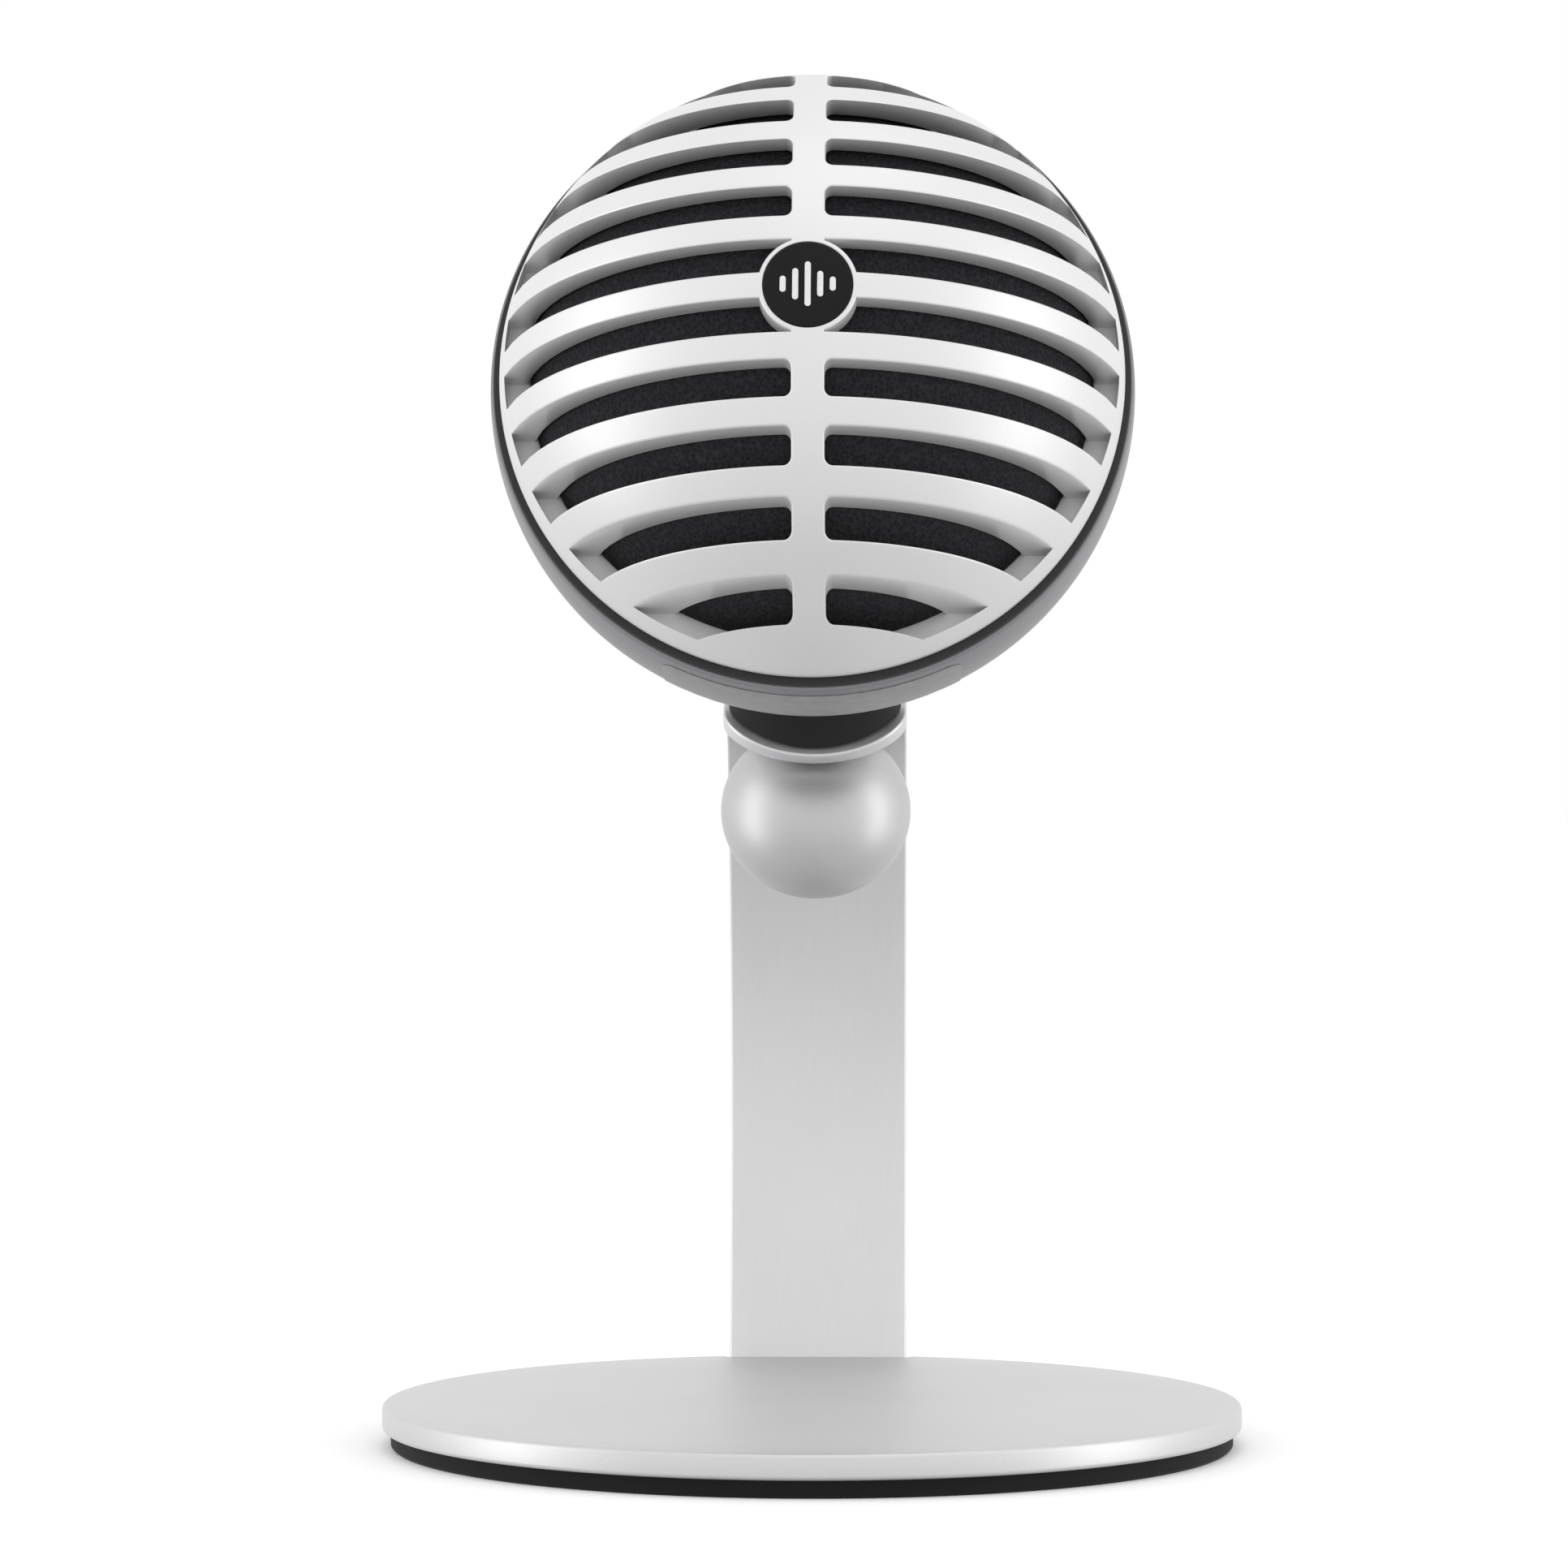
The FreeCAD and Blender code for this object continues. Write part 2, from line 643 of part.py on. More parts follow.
def head_foot():
    """The black foot between curl and housing, with a spigot into the housing's boss."""
    ellipse = Part.Ellipse(ORIGIN, FOOT_X / 2, FOOT_Y / 2)
    foot = Part.Face(Part.Wire([ellipse.toShape()])).extrude(V(0, 0, 20.0))
    foot = foot.cut(Part.makeCylinder(CURL_IN_R + ARM_T + GAP, 40, V(-20, 0, 0), X_AXIS))
    foot = put(foot, STUD_IN_HEAD).cut(ball(HOUSING_R, HOUSING_BACK_SHIFT))
    spigot = put(post(INSERT_R, CURL_IN_R + ARM_T + GAP, INSERT_BASE - 0.1), STUD_IN_HEAD)
    foot = fuse_all([foot, spigot])
    return foot.cut(put(post(STUD_BORE, 0, INSERT_END), STUD_IN_HEAD))


def thread_insert():
    """The brass thread insert in the housing's boss."""
    insert = post(INSERT_R, INSERT_BASE, INSERT_END).cut(post(STUD_R + STUD_FIT, 0, INSERT_END + 1))
    groove = post(INSERT_R + 1, *INSERT_GROOVE).cut(post(INSERT_R - INSERT_GROOVE_DEPTH, *INSERT_GROOVE))
    return put(insert.cut(groove), STUD_IN_HEAD)


def info_label():
    """The blank sticker under the housing, just behind the ring."""
    skin = ball(HOUSING_R + LABEL_T, HOUSING_BACK_SHIFT).cut(ball(HOUSING_R, HOUSING_BACK_SHIFT))
    deep = HOUSING_R + 1
    plan = block(-LABEL_HALF, LABEL_HALF, LABEL_FROM, LABEL_TO, -deep, 0)
    corners = [e for e in plan.Edges if abs(e.CenterOfMass.z + deep / 2) < 1e-3]
    return skin.common(plan.makeFillet(LABEL_ROUND, corners))


# ---------------------------------------------------------------- inside the head


def inner_frame():
    """The plate across the head, with the board's posts, sound holes and capsule seat."""
    plate = rod(FRAME_R, FRAME_FRONT, -RING_BACK)
    added = []
    for angle in range(0, 360, 90):
        x, z = around(angle, MAIN_POST_R)
        added.append(rod(MAIN_POST_SIZE, -RING_BACK - 0.5, MAIN_BOARD_Y, x, z))
    frame = fuse_all([plate] + added)
    frame = frame.cut(rod(LEAD_HOLE_R, FRAME_FRONT - 1, 1))
    for angle in range(0, 360, 90):
        x, z = around(angle, MAIN_POST_R)
        frame = frame.cut(rod(SHANK_R + PRESS_GAP, MAIN_BOARD_Y - MAIN_HOLE_DEPTH, MAIN_BOARD_Y + 1, x, z))
        for turn in (-SOUND_HOLE_TURN, SOUND_HOLE_TURN):
            x, z = around(angle + turn, SOUND_HOLE_CIRCLE)
            frame = frame.cut(rod(SOUND_HOLE_R, FRAME_FRONT - 1, 1, x, z))
    for x, z in corner_points(HOUSING_POST_R):
        frame = frame.cut(rod(SHANK_R + PRESS_GAP, FRAME_FRONT - 1, 1, x, z))
    return frame


def frame_screws():
    """Four screws from the front that hold frame and ring to the housing's posts."""
    screws = []
    for x, z in corner_points(HOUSING_POST_R):
        screws.append(screw_from(x, FRAME_FRONT, z, Y_AXIS, *FRAME_SCREW, False))
    return group(screws)


def capsule_holder():
    """The rubber cup that carries the capsule in front of the frame."""
    cup = rod(HOLDER_R, CAPSULE_FRONT + HOLDER_SHORT, FRAME_FRONT)
    cup = cup.cut(rod(CAPSULE_R, CAPSULE_FRONT - 1, CAPSULE_BACK))
    cup = cup.cut(rod(CAPSULE_R - HOLDER_LIP, CAPSULE_BACK - 1, FRAME_FRONT - HOLDER_FLOOR))
    cup = cup.cut(rod(LEAD_HOLE_R, CAPSULE_BACK, FRAME_FRONT + 1))
    groove = rod(HOLDER_R + 1, *HOLDER_GROOVE).cut(rod(HOLDER_R - HOLDER_GROOVE_DEPTH, *HOLDER_GROOVE))
    return cup.cut(groove)


def capsule():
    """The condenser capsule's can."""
    can = rod(CAPSULE_R, CAPSULE_FRONT, CAPSULE_BACK)
    return can.cut(rod(CAPSULE_R - CAN_WALL, CAPSULE_FRONT - 1, CAPSULE_FRONT + CAN_RECESS))


def capsule_mesh():
    """The perforated cover over the capsule's diaphragm."""
    cover = rod(CAPSULE_R - CAN_WALL, CAPSULE_FRONT, CAPSULE_FRONT + COVER_T)
    holes = [rod(COVER_HOLE_R, CAPSULE_FRONT - 1, CAPSULE_FRONT + 1)]
    for ring, count in COVER_RINGS:
        for n in range(count):
            x, z = around(360 / count * n, ring)
            holes.append(rod(COVER_HOLE_R, CAPSULE_FRONT - 1, CAPSULE_FRONT + 1, x, z))
    for hole in holes:
        cover = cover.cut(hole)
    return cover


def capsule_leads():
    """Two leads from the capsule back to the main board."""
    return group([rod(LEAD_R, CAPSULE_BACK, MAIN_BOARD_Y, x) for x in (-LEAD_X, LEAD_X)])


def main_board():
    """The round circuit board on the frame's posts."""
    board = rod(BOARD_R, MAIN_BOARD_Y, MAIN_BOARD_Y + BOARD_T)
    for angle in range(0, 360, 90):
        x, z = around(angle, MAIN_POST_R)
        board = board.cut(rod(BOARD_HOLE_R, MAIN_BOARD_Y - 1, MAIN_BOARD_Y + BOARD_T + 1, x, z))
    return board


def board_screws():
    """Four screws that hold the main board to the frame's posts."""
    back = MAIN_BOARD_Y + BOARD_T
    screws = []
    for angle in range(0, 360, 90):
        x, z = around(angle, MAIN_POST_R)
        screws.append(screw_from(x, back, z, -Y_AXIS, *BOARD_SCREW, True))
    return group(screws)


def board_chips():
    """The converter, the controller and smaller parts on the back of the main board."""
    back = MAIN_BOARD_Y + BOARD_T
    chips = []
    for x, z, wide, high, tall in CHIPS:
        chips.append(block(x - wide / 2, x + wide / 2, back, back + tall, z - high / 2, z + high / 2))
    return group(chips)


def board_headers():
    """The two plug headers, one on each board."""
    back = MAIN_BOARD_Y + BOARD_T
    return group([
        block(-HEADER_X, HEADER_X, back, back + HEADER_T, *HEADER_Z),
        block(-HEADER_X, HEADER_X, IO_BOARD_Y - HEADER_T, IO_BOARD_Y, *HEADER_Z),
    ])


def board_cable():
    """The flat cable that joins the two boards."""
    start = MAIN_BOARD_Y + BOARD_T + HEADER_T
    return block(-CABLE_X, CABLE_X, start, IO_BOARD_Y - HEADER_T, *CABLE_Z)


def io_board():
    """The small board that carries the sockets, switches and volume control."""
    end = IO_BOARD_Y + BOARD_T
    board = rod(IO_BOARD_R, IO_BOARD_Y, end)
    board = board.cut(block(-30, 30, IO_BOARD_Y - 1, end + 1, -30, IO_BOARD_FLAT))
    half = WHEEL_T / 2 + WHEEL_GAP
    board = board.cut(block(-WHEEL_R - 0.6, WHEEL_R + 0.6, IO_BOARD_Y - 1, end + 1,
                            WHEEL_Z - half, WHEEL_Z + half))
    board = board.cut(rod(JACK_R + PRESS_GAP, IO_BOARD_Y - 1, end + 1, SOCKET_X, SOCKET_Z))
    for x in (-1, 1):
        board = board.cut(rod(3.0, IO_BOARD_Y - 1, end + 1, x * PANEL_SCREW_X))
        board = board.cut(rod(SHANK_R + 0.1, IO_BOARD_Y - 1, end + 1, x * PILLAR_X, PILLAR_Z))
    return board


def io_screws():
    """Two screws that hold the small board to the back panel's pillars."""
    screws = []
    for x in (-PILLAR_X, PILLAR_X):
        screws.append(screw_from(x, IO_BOARD_Y, PILLAR_Z, Y_AXIS, *IO_SCREW, True))
    return group(screws)


def tact_switches():
    """The two push switches behind the buttons."""
    base = IO_BOARD_Y + BOARD_T
    switches = []
    for x in (-BUTTON_X, BUTTON_X):
        body = block(x - SWITCH_HALF, x + SWITCH_HALF, base, base + SWITCH_T, -SWITCH_HALF, SWITCH_HALF)
        switches.append(fuse_all([body, rod(PLUNGER_R, base + SWITCH_T / 2, base + PLUNGER_END, x)]))
    return group(switches)


def usb_socket():
    """The power and data socket: a rounded metal shell with a tongue in it."""
    base = IO_BOARD_Y + BOARD_T
    shell = rounded_bar(USB_W, USB_H, base, PANEL_FACE + 0.1, -SOCKET_X, SOCKET_Z)
    cavity = rounded_bar(USB_W - 2 * USB_WALL, USB_H - 2 * USB_WALL, base + 2 * USB_WALL, PANEL_FACE + 1,
                         -SOCKET_X, SOCKET_Z)
    tongue = block(-SOCKET_X - USB_TONGUE_X, -SOCKET_X + USB_TONGUE_X, base + USB_WALL,
                   PANEL_FACE - USB_TONGUE_SHORT, SOCKET_Z - USB_TONGUE_Z, SOCKET_Z + USB_TONGUE_Z)
    return fuse_all([shell.cut(cavity), tongue])


def jack_socket():
    """The headphone socket: a body behind the small board and a barrel out to the panel."""
    mouth = PANEL_FACE + 0.4
    body = block(SOCKET_X - JACK_BODY_X, SOCKET_X + JACK_BODY_X, mouth - JACK_DEPTH - JACK_BODY_BACK,
                 IO_BOARD_Y, SOCKET_Z - JACK_BODY_Z, SOCKET_Z + JACK_BODY_Z)
    barrel = rod(JACK_R, IO_BOARD_Y - 1, mouth, SOCKET_X, SOCKET_Z)
    socket = fuse_all([body, barrel])
    return socket.cut(rod(JACK_BORE_R, mouth - JACK_DEPTH, mouth + 1, SOCKET_X, SOCKET_Z))


def back_panel():
    """The round panel in the housing's back, with its openings and two pillars."""
    panel = rod(PANEL_R, PANEL_BACK, PANEL_FACE)
    pillars = []
    for x in (-PILLAR_X, PILLAR_X):
        pillars.append(rod(PILLAR_SIZE, IO_BOARD_Y + BOARD_T, PANEL_BACK + 0.5, x, PILLAR_Z))
    panel = fuse_all([panel] + pillars)
    half = WHEEL_T / 2 + 0.4
    chord = math.sqrt(WHEEL_R ** 2 - (PANEL_BACK - WHEEL_Y) ** 2) + 0.5
    cuts = [
        block(-chord, chord, PANEL_BACK - 0.1, PANEL_FACE + 1, WHEEL_Z - half, WHEEL_Z + half),
        rounded_bar(USB_W + 0.1, USB_H + 0.1, PANEL_BACK - 1, PANEL_FACE + 1, -SOCKET_X, SOCKET_Z),
        rod(JACK_R + PRESS_GAP, PANEL_BACK - 1, PANEL_FACE + 1, SOCKET_X, SOCKET_Z),
    ]
    for x in (-1, 1):
        cuts.append(rod(BUTTON_R + BUTTON_FIT, PANEL_BACK - 1, PANEL_FACE + 1, x * BUTTON_X))
        cuts.append(rod(LED_R + PRESS_GAP, PANEL_BACK - 1, PANEL_FACE + 1, x * LED_X, LED_Z))
        cuts.append(rod(SHANK_R + PRESS_GAP, PANEL_BACK - 1, PANEL_FACE + 1, x * PANEL_SCREW_X))
        cuts.append(rod(PANEL_SCREW_RECESS_R, PANEL_FACE - PANEL_SCREW_SEAT, PANEL_FACE + 1,
                        x * PANEL_SCREW_X))
        cuts.append(rod(SHANK_R + PRESS_GAP, IO_BOARD_Y, IO_BOARD_Y + PILLAR_HOLE, x * PILLAR_X, PILLAR_Z))
    for cut in cuts:
        panel = panel.cut(cut)
    return panel


def panel_screws():
    """Two screws that hold the back panel to the housing."""
    seat = PANEL_FACE - PANEL_SCREW_SEAT
    screws = []
    for x in (-PANEL_SCREW_X, PANEL_SCREW_X):
        screws.append(screw_from(x, seat, 0.0, -Y_AXIS, *PANEL_SCREW, True))
    return group(screws)


def led_pipes():
    """Two clear light pipes that carry the status lights to the panel."""
    pipes = []
    for x in (-LED_X, LED_X):
        pipes.append(rod(LED_R, IO_BOARD_Y + BOARD_T, PANEL_FACE + 0.1, x, LED_Z))
    return group(pipes)


def wheel_bracket():
    """The open frame of the volume control, with bores for the axle."""
    base = IO_BOARD_Y + BOARD_T
    half = WHEEL_T / 2
    outer = half + BRACKET_WALL
    inner = half + WHEEL_GAP
    frame = block(-BRACKET_X, BRACKET_X, base, PANEL_BACK - GAP - 0.1, WHEEL_Z - outer, WHEEL_Z + outer)
    frame = frame.cut(block(-BRACKET_OPEN_X, BRACKET_OPEN_X, base - 1, PANEL_BACK,
                            WHEEL_Z - inner, WHEEL_Z + inner))
    return frame.cut(post(AXLE_R, WHEEL_Z - 9, WHEEL_Z + 9, 0.0, WHEEL_Y))


def wheel_axle():
    """The steel pin that the volume wheel turns on."""
    reach = WHEEL_T / 2 + BRACKET_WALL
    return post(AXLE_R, WHEEL_Z - reach, WHEEL_Z + reach, 0.0, WHEEL_Y)


def volume_wheel():
    """The grooved thumbwheel, whose rim stands out of the panel."""
    wheel = post(WHEEL_R, WHEEL_Z - WHEEL_T / 2, WHEEL_Z + WHEEL_T / 2, 0.0, WHEEL_Y)
    rims = [e for e in wheel.Edges if len(e.Vertexes) == 1]
    wheel = wheel.makeChamfer(WHEEL_CHAMFER, rims)
    for n in range(WHEEL_GROOVES):
        x, y = around(360 / WHEEL_GROOVES * n, WHEEL_R + 0.1)
        wheel = wheel.cut(post(WHEEL_GROOVE_R, WHEEL_Z - WHEEL_T, WHEEL_Z + WHEEL_T, x, y + WHEEL_Y))
    return wheel.cut(post(AXLE_R + AXLE_FIT, WHEEL_Z - 9, WHEEL_Z + 9, 0.0, WHEEL_Y))


def push_button(x):
    """A round button cap with a flange that keeps it behind the panel."""
    flange_back = PANEL_BACK - GAP - BUTTON_FLANGE_T
    cap = rod(BUTTON_R, flange_back, BUTTON_FACE, x)
    rim = [e for e in cap.Edges if e.CenterOfMass.y > BUTTON_FACE - 0.1 and len(e.Vertexes) == 1]
    cap = cap.makeFillet(BUTTON_ROUND, rim)
    return fuse_all([cap, rod(BUTTON_FLANGE_R, flange_back, PANEL_BACK - GAP, x)])


# ---------------------------------------------------------------- the assembly

save("base_pad", base_pad())
save("base_disc", base_disc())
save("stand_arm", stand_arm())
save("arm_screws", group([arm_screw(y) for y in ARM_SCREW_Y]))

save("ball_knob", ball_knob(), STUD)
save("knob_stud", knob_stud(), STUD)
save("saddle_washer", saddle_washer(), STUD)

save("grille_dome", grille_dome(), HEAD)
save("badge_disc", badge_disc(), HEAD)
save("badge_bars", badge_bars(), HEAD)
save("grille_foam", grille_foam(), HEAD)
save("trim_ring", trim_ring(), HEAD)
save("rear_housing", rear_housing(), HEAD)
save("head_foot", head_foot(), HEAD)
save("thread_insert", thread_insert(), HEAD)
save("info_label", info_label(), HEAD)

save("inner_frame", inner_frame(), HEAD)
save("frame_screws", frame_screws(), HEAD)
save("capsule_holder", capsule_holder(), HEAD)
save("capsule", capsule(), HEAD)
save("capsule_mesh", capsule_mesh(), HEAD)
save("capsule_leads", capsule_leads(), HEAD)
save("main_board", main_board(), HEAD)
save("board_screws", board_screws(), HEAD)
save("board_chips", board_chips(), HEAD)
save("board_headers", board_headers(), HEAD)
save("board_cable", board_cable(), HEAD)

save("back_panel", back_panel(), HEAD)
save("panel_screws", panel_screws(), HEAD)
save("io_board", io_board(), HEAD)
save("io_screws", io_screws(), HEAD)
save("tact_switches", tact_switches(), HEAD)
save("usb_socket", usb_socket(), HEAD)
save("jack_socket", jack_socket(), HEAD)
save("led_pipes", led_pipes(), HEAD)
save("wheel_bracket", wheel_bracket(), HEAD)
save("wheel_axle", wheel_axle(), HEAD)
save("volume_wheel", volume_wheel(), HEAD)
save("mode_button", push_button(-BUTTON_X), HEAD)
save("mute_button", push_button(BUTTON_X), HEAD)
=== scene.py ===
import json
import math

import bmesh
import bpy
from mathutils import Matrix, Vector, geometry, noise


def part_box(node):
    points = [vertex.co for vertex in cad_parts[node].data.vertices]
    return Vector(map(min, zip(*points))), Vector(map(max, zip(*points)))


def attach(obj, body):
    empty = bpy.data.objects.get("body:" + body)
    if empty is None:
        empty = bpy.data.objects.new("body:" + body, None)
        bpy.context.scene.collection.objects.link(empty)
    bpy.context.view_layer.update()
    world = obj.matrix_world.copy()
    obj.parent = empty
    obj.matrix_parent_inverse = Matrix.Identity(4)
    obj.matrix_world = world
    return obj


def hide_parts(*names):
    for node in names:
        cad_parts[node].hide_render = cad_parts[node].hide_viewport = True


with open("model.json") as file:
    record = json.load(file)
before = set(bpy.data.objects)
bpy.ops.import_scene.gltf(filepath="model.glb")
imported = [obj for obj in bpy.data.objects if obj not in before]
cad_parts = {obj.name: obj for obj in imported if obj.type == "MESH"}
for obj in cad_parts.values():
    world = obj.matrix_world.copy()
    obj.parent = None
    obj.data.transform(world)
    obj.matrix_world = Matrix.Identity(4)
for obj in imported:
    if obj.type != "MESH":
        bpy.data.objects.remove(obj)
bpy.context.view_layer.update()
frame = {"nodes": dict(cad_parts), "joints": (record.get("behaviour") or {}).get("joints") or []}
nodes = frame["nodes"]
joints = {joint["name"]: joint for joint in frame["joints"]}
MM = 0.001


# Table, light and view: a pale studio table under soft lamps, seen from just above the desk
# a little more than half a metre in front. The table only shows and takes shadow, so the
# underside of the microphone is lit by the dim lower half of the sky.
CAMERA_PLACE = (0.0087, -0.553, 0.0684)
CAMERA_TURN = math.radians(1.2)
CAMERA_LENS = 122.3
CAMERA_SENSOR = 36
LAMP_AIM = Vector((0, 0.01, 0.07))
LAMPS = (
    ("top_softbox", (0.10, -0.15, 0.80), (0.60, 0.60), 0.42),
    ("left_softbox", (-0.78, -0.10, 0.12), (0.28, 0.90), 1.3),
    ("right_softbox", (0.78, -0.10, 0.12), (0.28, 0.90), 1.3),
)
SKY_LEVELS = ((0.0, 0.36), (0.12, 0.72), (0.46, 1.0))
TABLE_HALF = 8.0

camera = bpy.data.objects.new("view_camera", bpy.data.cameras.new("view_camera"))
camera.location = CAMERA_PLACE
camera.rotation_euler = (math.pi / 2, 0, CAMERA_TURN)
camera.data.lens = CAMERA_LENS
camera.data.sensor_width = CAMERA_SENSOR
bpy.context.collection.objects.link(camera)
bpy.context.scene.camera = camera

for lamp_name, lamp_place, (lamp_width, lamp_height), lamp_power in LAMPS:
    lamp = bpy.data.objects.new(lamp_name, bpy.data.lights.new(lamp_name, "AREA"))
    lamp.data.shape = "RECTANGLE"
    lamp.data.size = lamp_width
    lamp.data.size_y = lamp_height
    lamp.data.energy = lamp_power
    lamp.location = lamp_place
    lamp.rotation_euler = (LAMP_AIM - Vector(lamp_place)).to_track_quat("-Z", "Y").to_euler()
    bpy.context.collection.objects.link(lamp)


class Wire:
    """One output among a material's nodes. Sums on it add Math nodes; make() adds any other."""

    def __init__(self, tree, socket=None):
        self.tree = tree
        self.socket = socket

    def make(self, kind, settings=None, values=None, out=0):
        made = self.tree.nodes.new("ShaderNode" + kind)
        for name, value in (settings or {}).items():
            if name == "stops":
                elements = made.color_ramp.elements
                while len(elements) < len(value):
                    elements.new(1.0)
                for element, (position, shade) in zip(elements, value):
                    element.position = position
                    element.color = (shade, shade, shade, 1)
            else:
                setattr(made, name, value)
        for name, value in (values or {}).items():
            if isinstance(value, Wire):
                self.tree.links.new(value.socket, made.inputs[name])
            else:
                made.inputs[name].default_value = value
        return Wire(self.tree, made.outputs[out])

    def _sum(self, operation, first, second):
        return self.make("Math", {"operation": operation}, {0: first, 1: second})

    def __add__(self, other):
        return self._sum("ADD", self, other)

    def __mul__(self, other):
        return self._sum("MULTIPLY", self, other)

    def __truediv__(self, other):
        return self._sum("DIVIDE", self, other)

    __radd__ = __add__
    __rmul__ = __mul__


sky = bpy.data.worlds.new("studio_sky")
sky.use_nodes = True
wire = Wire(sky.node_tree)
height = wire.make("SeparateXYZ", {}, {"Vector": wire.make("TexCoord")}, out=2)
level = wire.make("ValToRGB", {"stops": SKY_LEVELS}, {"Fac": height * 0.5 + 0.5})
sky.node_tree.links.new(level.socket, sky.node_tree.nodes["Background"].inputs["Color"])
bpy.context.scene.world = sky
bpy.context.scene.view_settings.view_transform = "Standard"


def new_finish(name):
    """A fresh material and a wire to build its nodes from."""
    material = bpy.data.materials.new(name)
    material.use_nodes = True
    return material, Wire(material.node_tree)


def plug_in(material, sockets):
    """Sets the sockets of a material's shader, each to a value or to a wire."""
    shader = material.node_tree.nodes["Principled BSDF"]
    for name, value in sockets.items():
        if isinstance(value, Wire):
            material.node_tree.links.new(value.socket, shader.inputs[name])
        else:
            shader.inputs[name].default_value = value


def grain(wire, scale, stretch=(1, 1, 1), detail=4.0):
    """A noise value over the piece, finer as scale grows (per metre)."""
    mapped = wire.make("Mapping", {}, {"Vector": wire.make("TexCoord", out=3), "Scale": stretch})
    return wire.make("TexNoise", {}, {"Vector": mapped, "Scale": scale, "Detail": detail})


def tint(wire, factor, dark, light):
    """A colour between two, as a factor goes from 0 to 1."""
    return wire.make("Mix", {"data_type": "RGBA"}, {0: factor, 6: (*dark, 1), 7: (*light, 1)}, out=2)


def relief(wire, height, strength, depth):
    """A bump from a height value; depth is in metres."""
    return wire.make("Bump", {}, {"Strength": strength, "Distance": depth, "Height": height})


table_finish, wire = new_finish("studio_table")
plug_in(table_finish, {
    "Base Color": tint(wire, grain(wire, 3.0), (0.94, 0.94, 0.94), (0.96, 0.96, 0.96)),
    "Roughness": 0.8,
    "Specular IOR Level": 0.1,
    "Emission Color": (1, 1, 1, 1),
    "Emission Strength": 0.07,
})
table_mesh = bpy.data.meshes.new("studio_table")
table_mesh.from_pydata(
    [(x * TABLE_HALF, y * TABLE_HALF, 0.0) for x, y in ((-1, -1), (1, -1), (1, 1), (-1, 1))],
    [], [(0, 1, 2, 3)],
)
table_mesh.materials.append(table_finish)
table = bpy.data.objects.new("studio_table", table_mesh)
table.visible_diffuse = False
table.visible_glossy = False
table.visible_shadow = False
bpy.context.collection.objects.link(table)


# Rubber pad: a black moulded disc glued under the base, a little smaller than it.
def dress(name, material, angle=35):
    """Gives a carried-over part its finish and shades its curved faces smoothly."""
    mesh = nodes[name].data
    mesh.materials.clear()
    mesh.materials.append(material)
    mesh.shade_smooth()
    mesh.set_sharp_from_angle(angle=math.radians(angle))


pad_rubber, wire = new_finish("pad_rubber")
pad_mottle = grain(wire, 1500.0)
plug_in(pad_rubber, {
    "Base Color": tint(wire, pad_mottle, (0.003, 0.003, 0.003), (0.009, 0.009, 0.010)),
    "Specular IOR Level": 0.2,
    "Roughness": 0.62 + 0.2 * pad_mottle,
    "Normal": relief(wire, grain(wire, 5000.0), 0.4, 0.00006),
})
dress("base_pad", pad_rubber)


# Base disc: a heavy turned steel disc with a softened rim, notched behind for the arm and
# bead-blasted to an even satin.
EDGE_STEPS = 3


def ease(bevel):
    """The steps of a rounded edge, as (distance inside the edge, depth under the face)."""
    turns = [math.pi / 2 * step / EDGE_STEPS for step in range(EDGE_STEPS + 1)]
    return [(bevel * (1 - math.sin(turn)), bevel * (1 - math.cos(turn))) for turn in turns]


def edge_rings(loop, top, bottom, bevel):
    """A border of a plate: its flat outline and the rings down its rounded edge wall."""
    rings = [[top(point, depth) for point in loop(inset)] for inset, depth in ease(bevel)]
    for inset, depth in reversed(ease(bevel)):
        rings.append([bottom(point, depth) for point in loop(inset)])
    return loop(bevel), rings


def finished_piece(name, vertices, faces, material, body, slot_name, angle=40):
    """A mesh piece with smooth curved faces, its finish and the body that it rides on; its slot name is
    not used.
    """
    mesh = bpy.data.meshes.new(name)
    mesh.from_pydata([tuple(vertex) for vertex in vertices], [], faces)
    mesh.validate()
    work = bmesh.new()
    work.from_mesh(mesh)
    bmesh.ops.recalc_face_normals(work, faces=work.faces)
    work.to_mesh(mesh)
    work.free()
    mesh.materials.append(material)
    mesh.shade_smooth()
    mesh.set_sharp_from_angle(angle=math.radians(angle))
    piece = bpy.data.objects.new(name, mesh)
    bpy.context.collection.objects.link(piece)
    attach(piece, body)
    return piece


def hole_test(outline):
    """A function that says if a flat point is inside an outline."""
    left, right = min(x for x, y in outline), max(x for x, y in outline)
    low, high = min(y for x, y in outline), max(y for x, y in outline)
    pairs = list(zip(outline, outline[1:] + outline[:1]))

    def within(point):
        if not (left < point.x < right and low < point.y < high):
            return False
        crossings = 0
        for (ax, ay), (bx, by) in pairs:
            if (ay > point.y) != (by > point.y):
                crossings += point.x < ax + (bx - ax) * (point.y - ay) / (by - ay)
        return crossings % 2 == 1

    return within


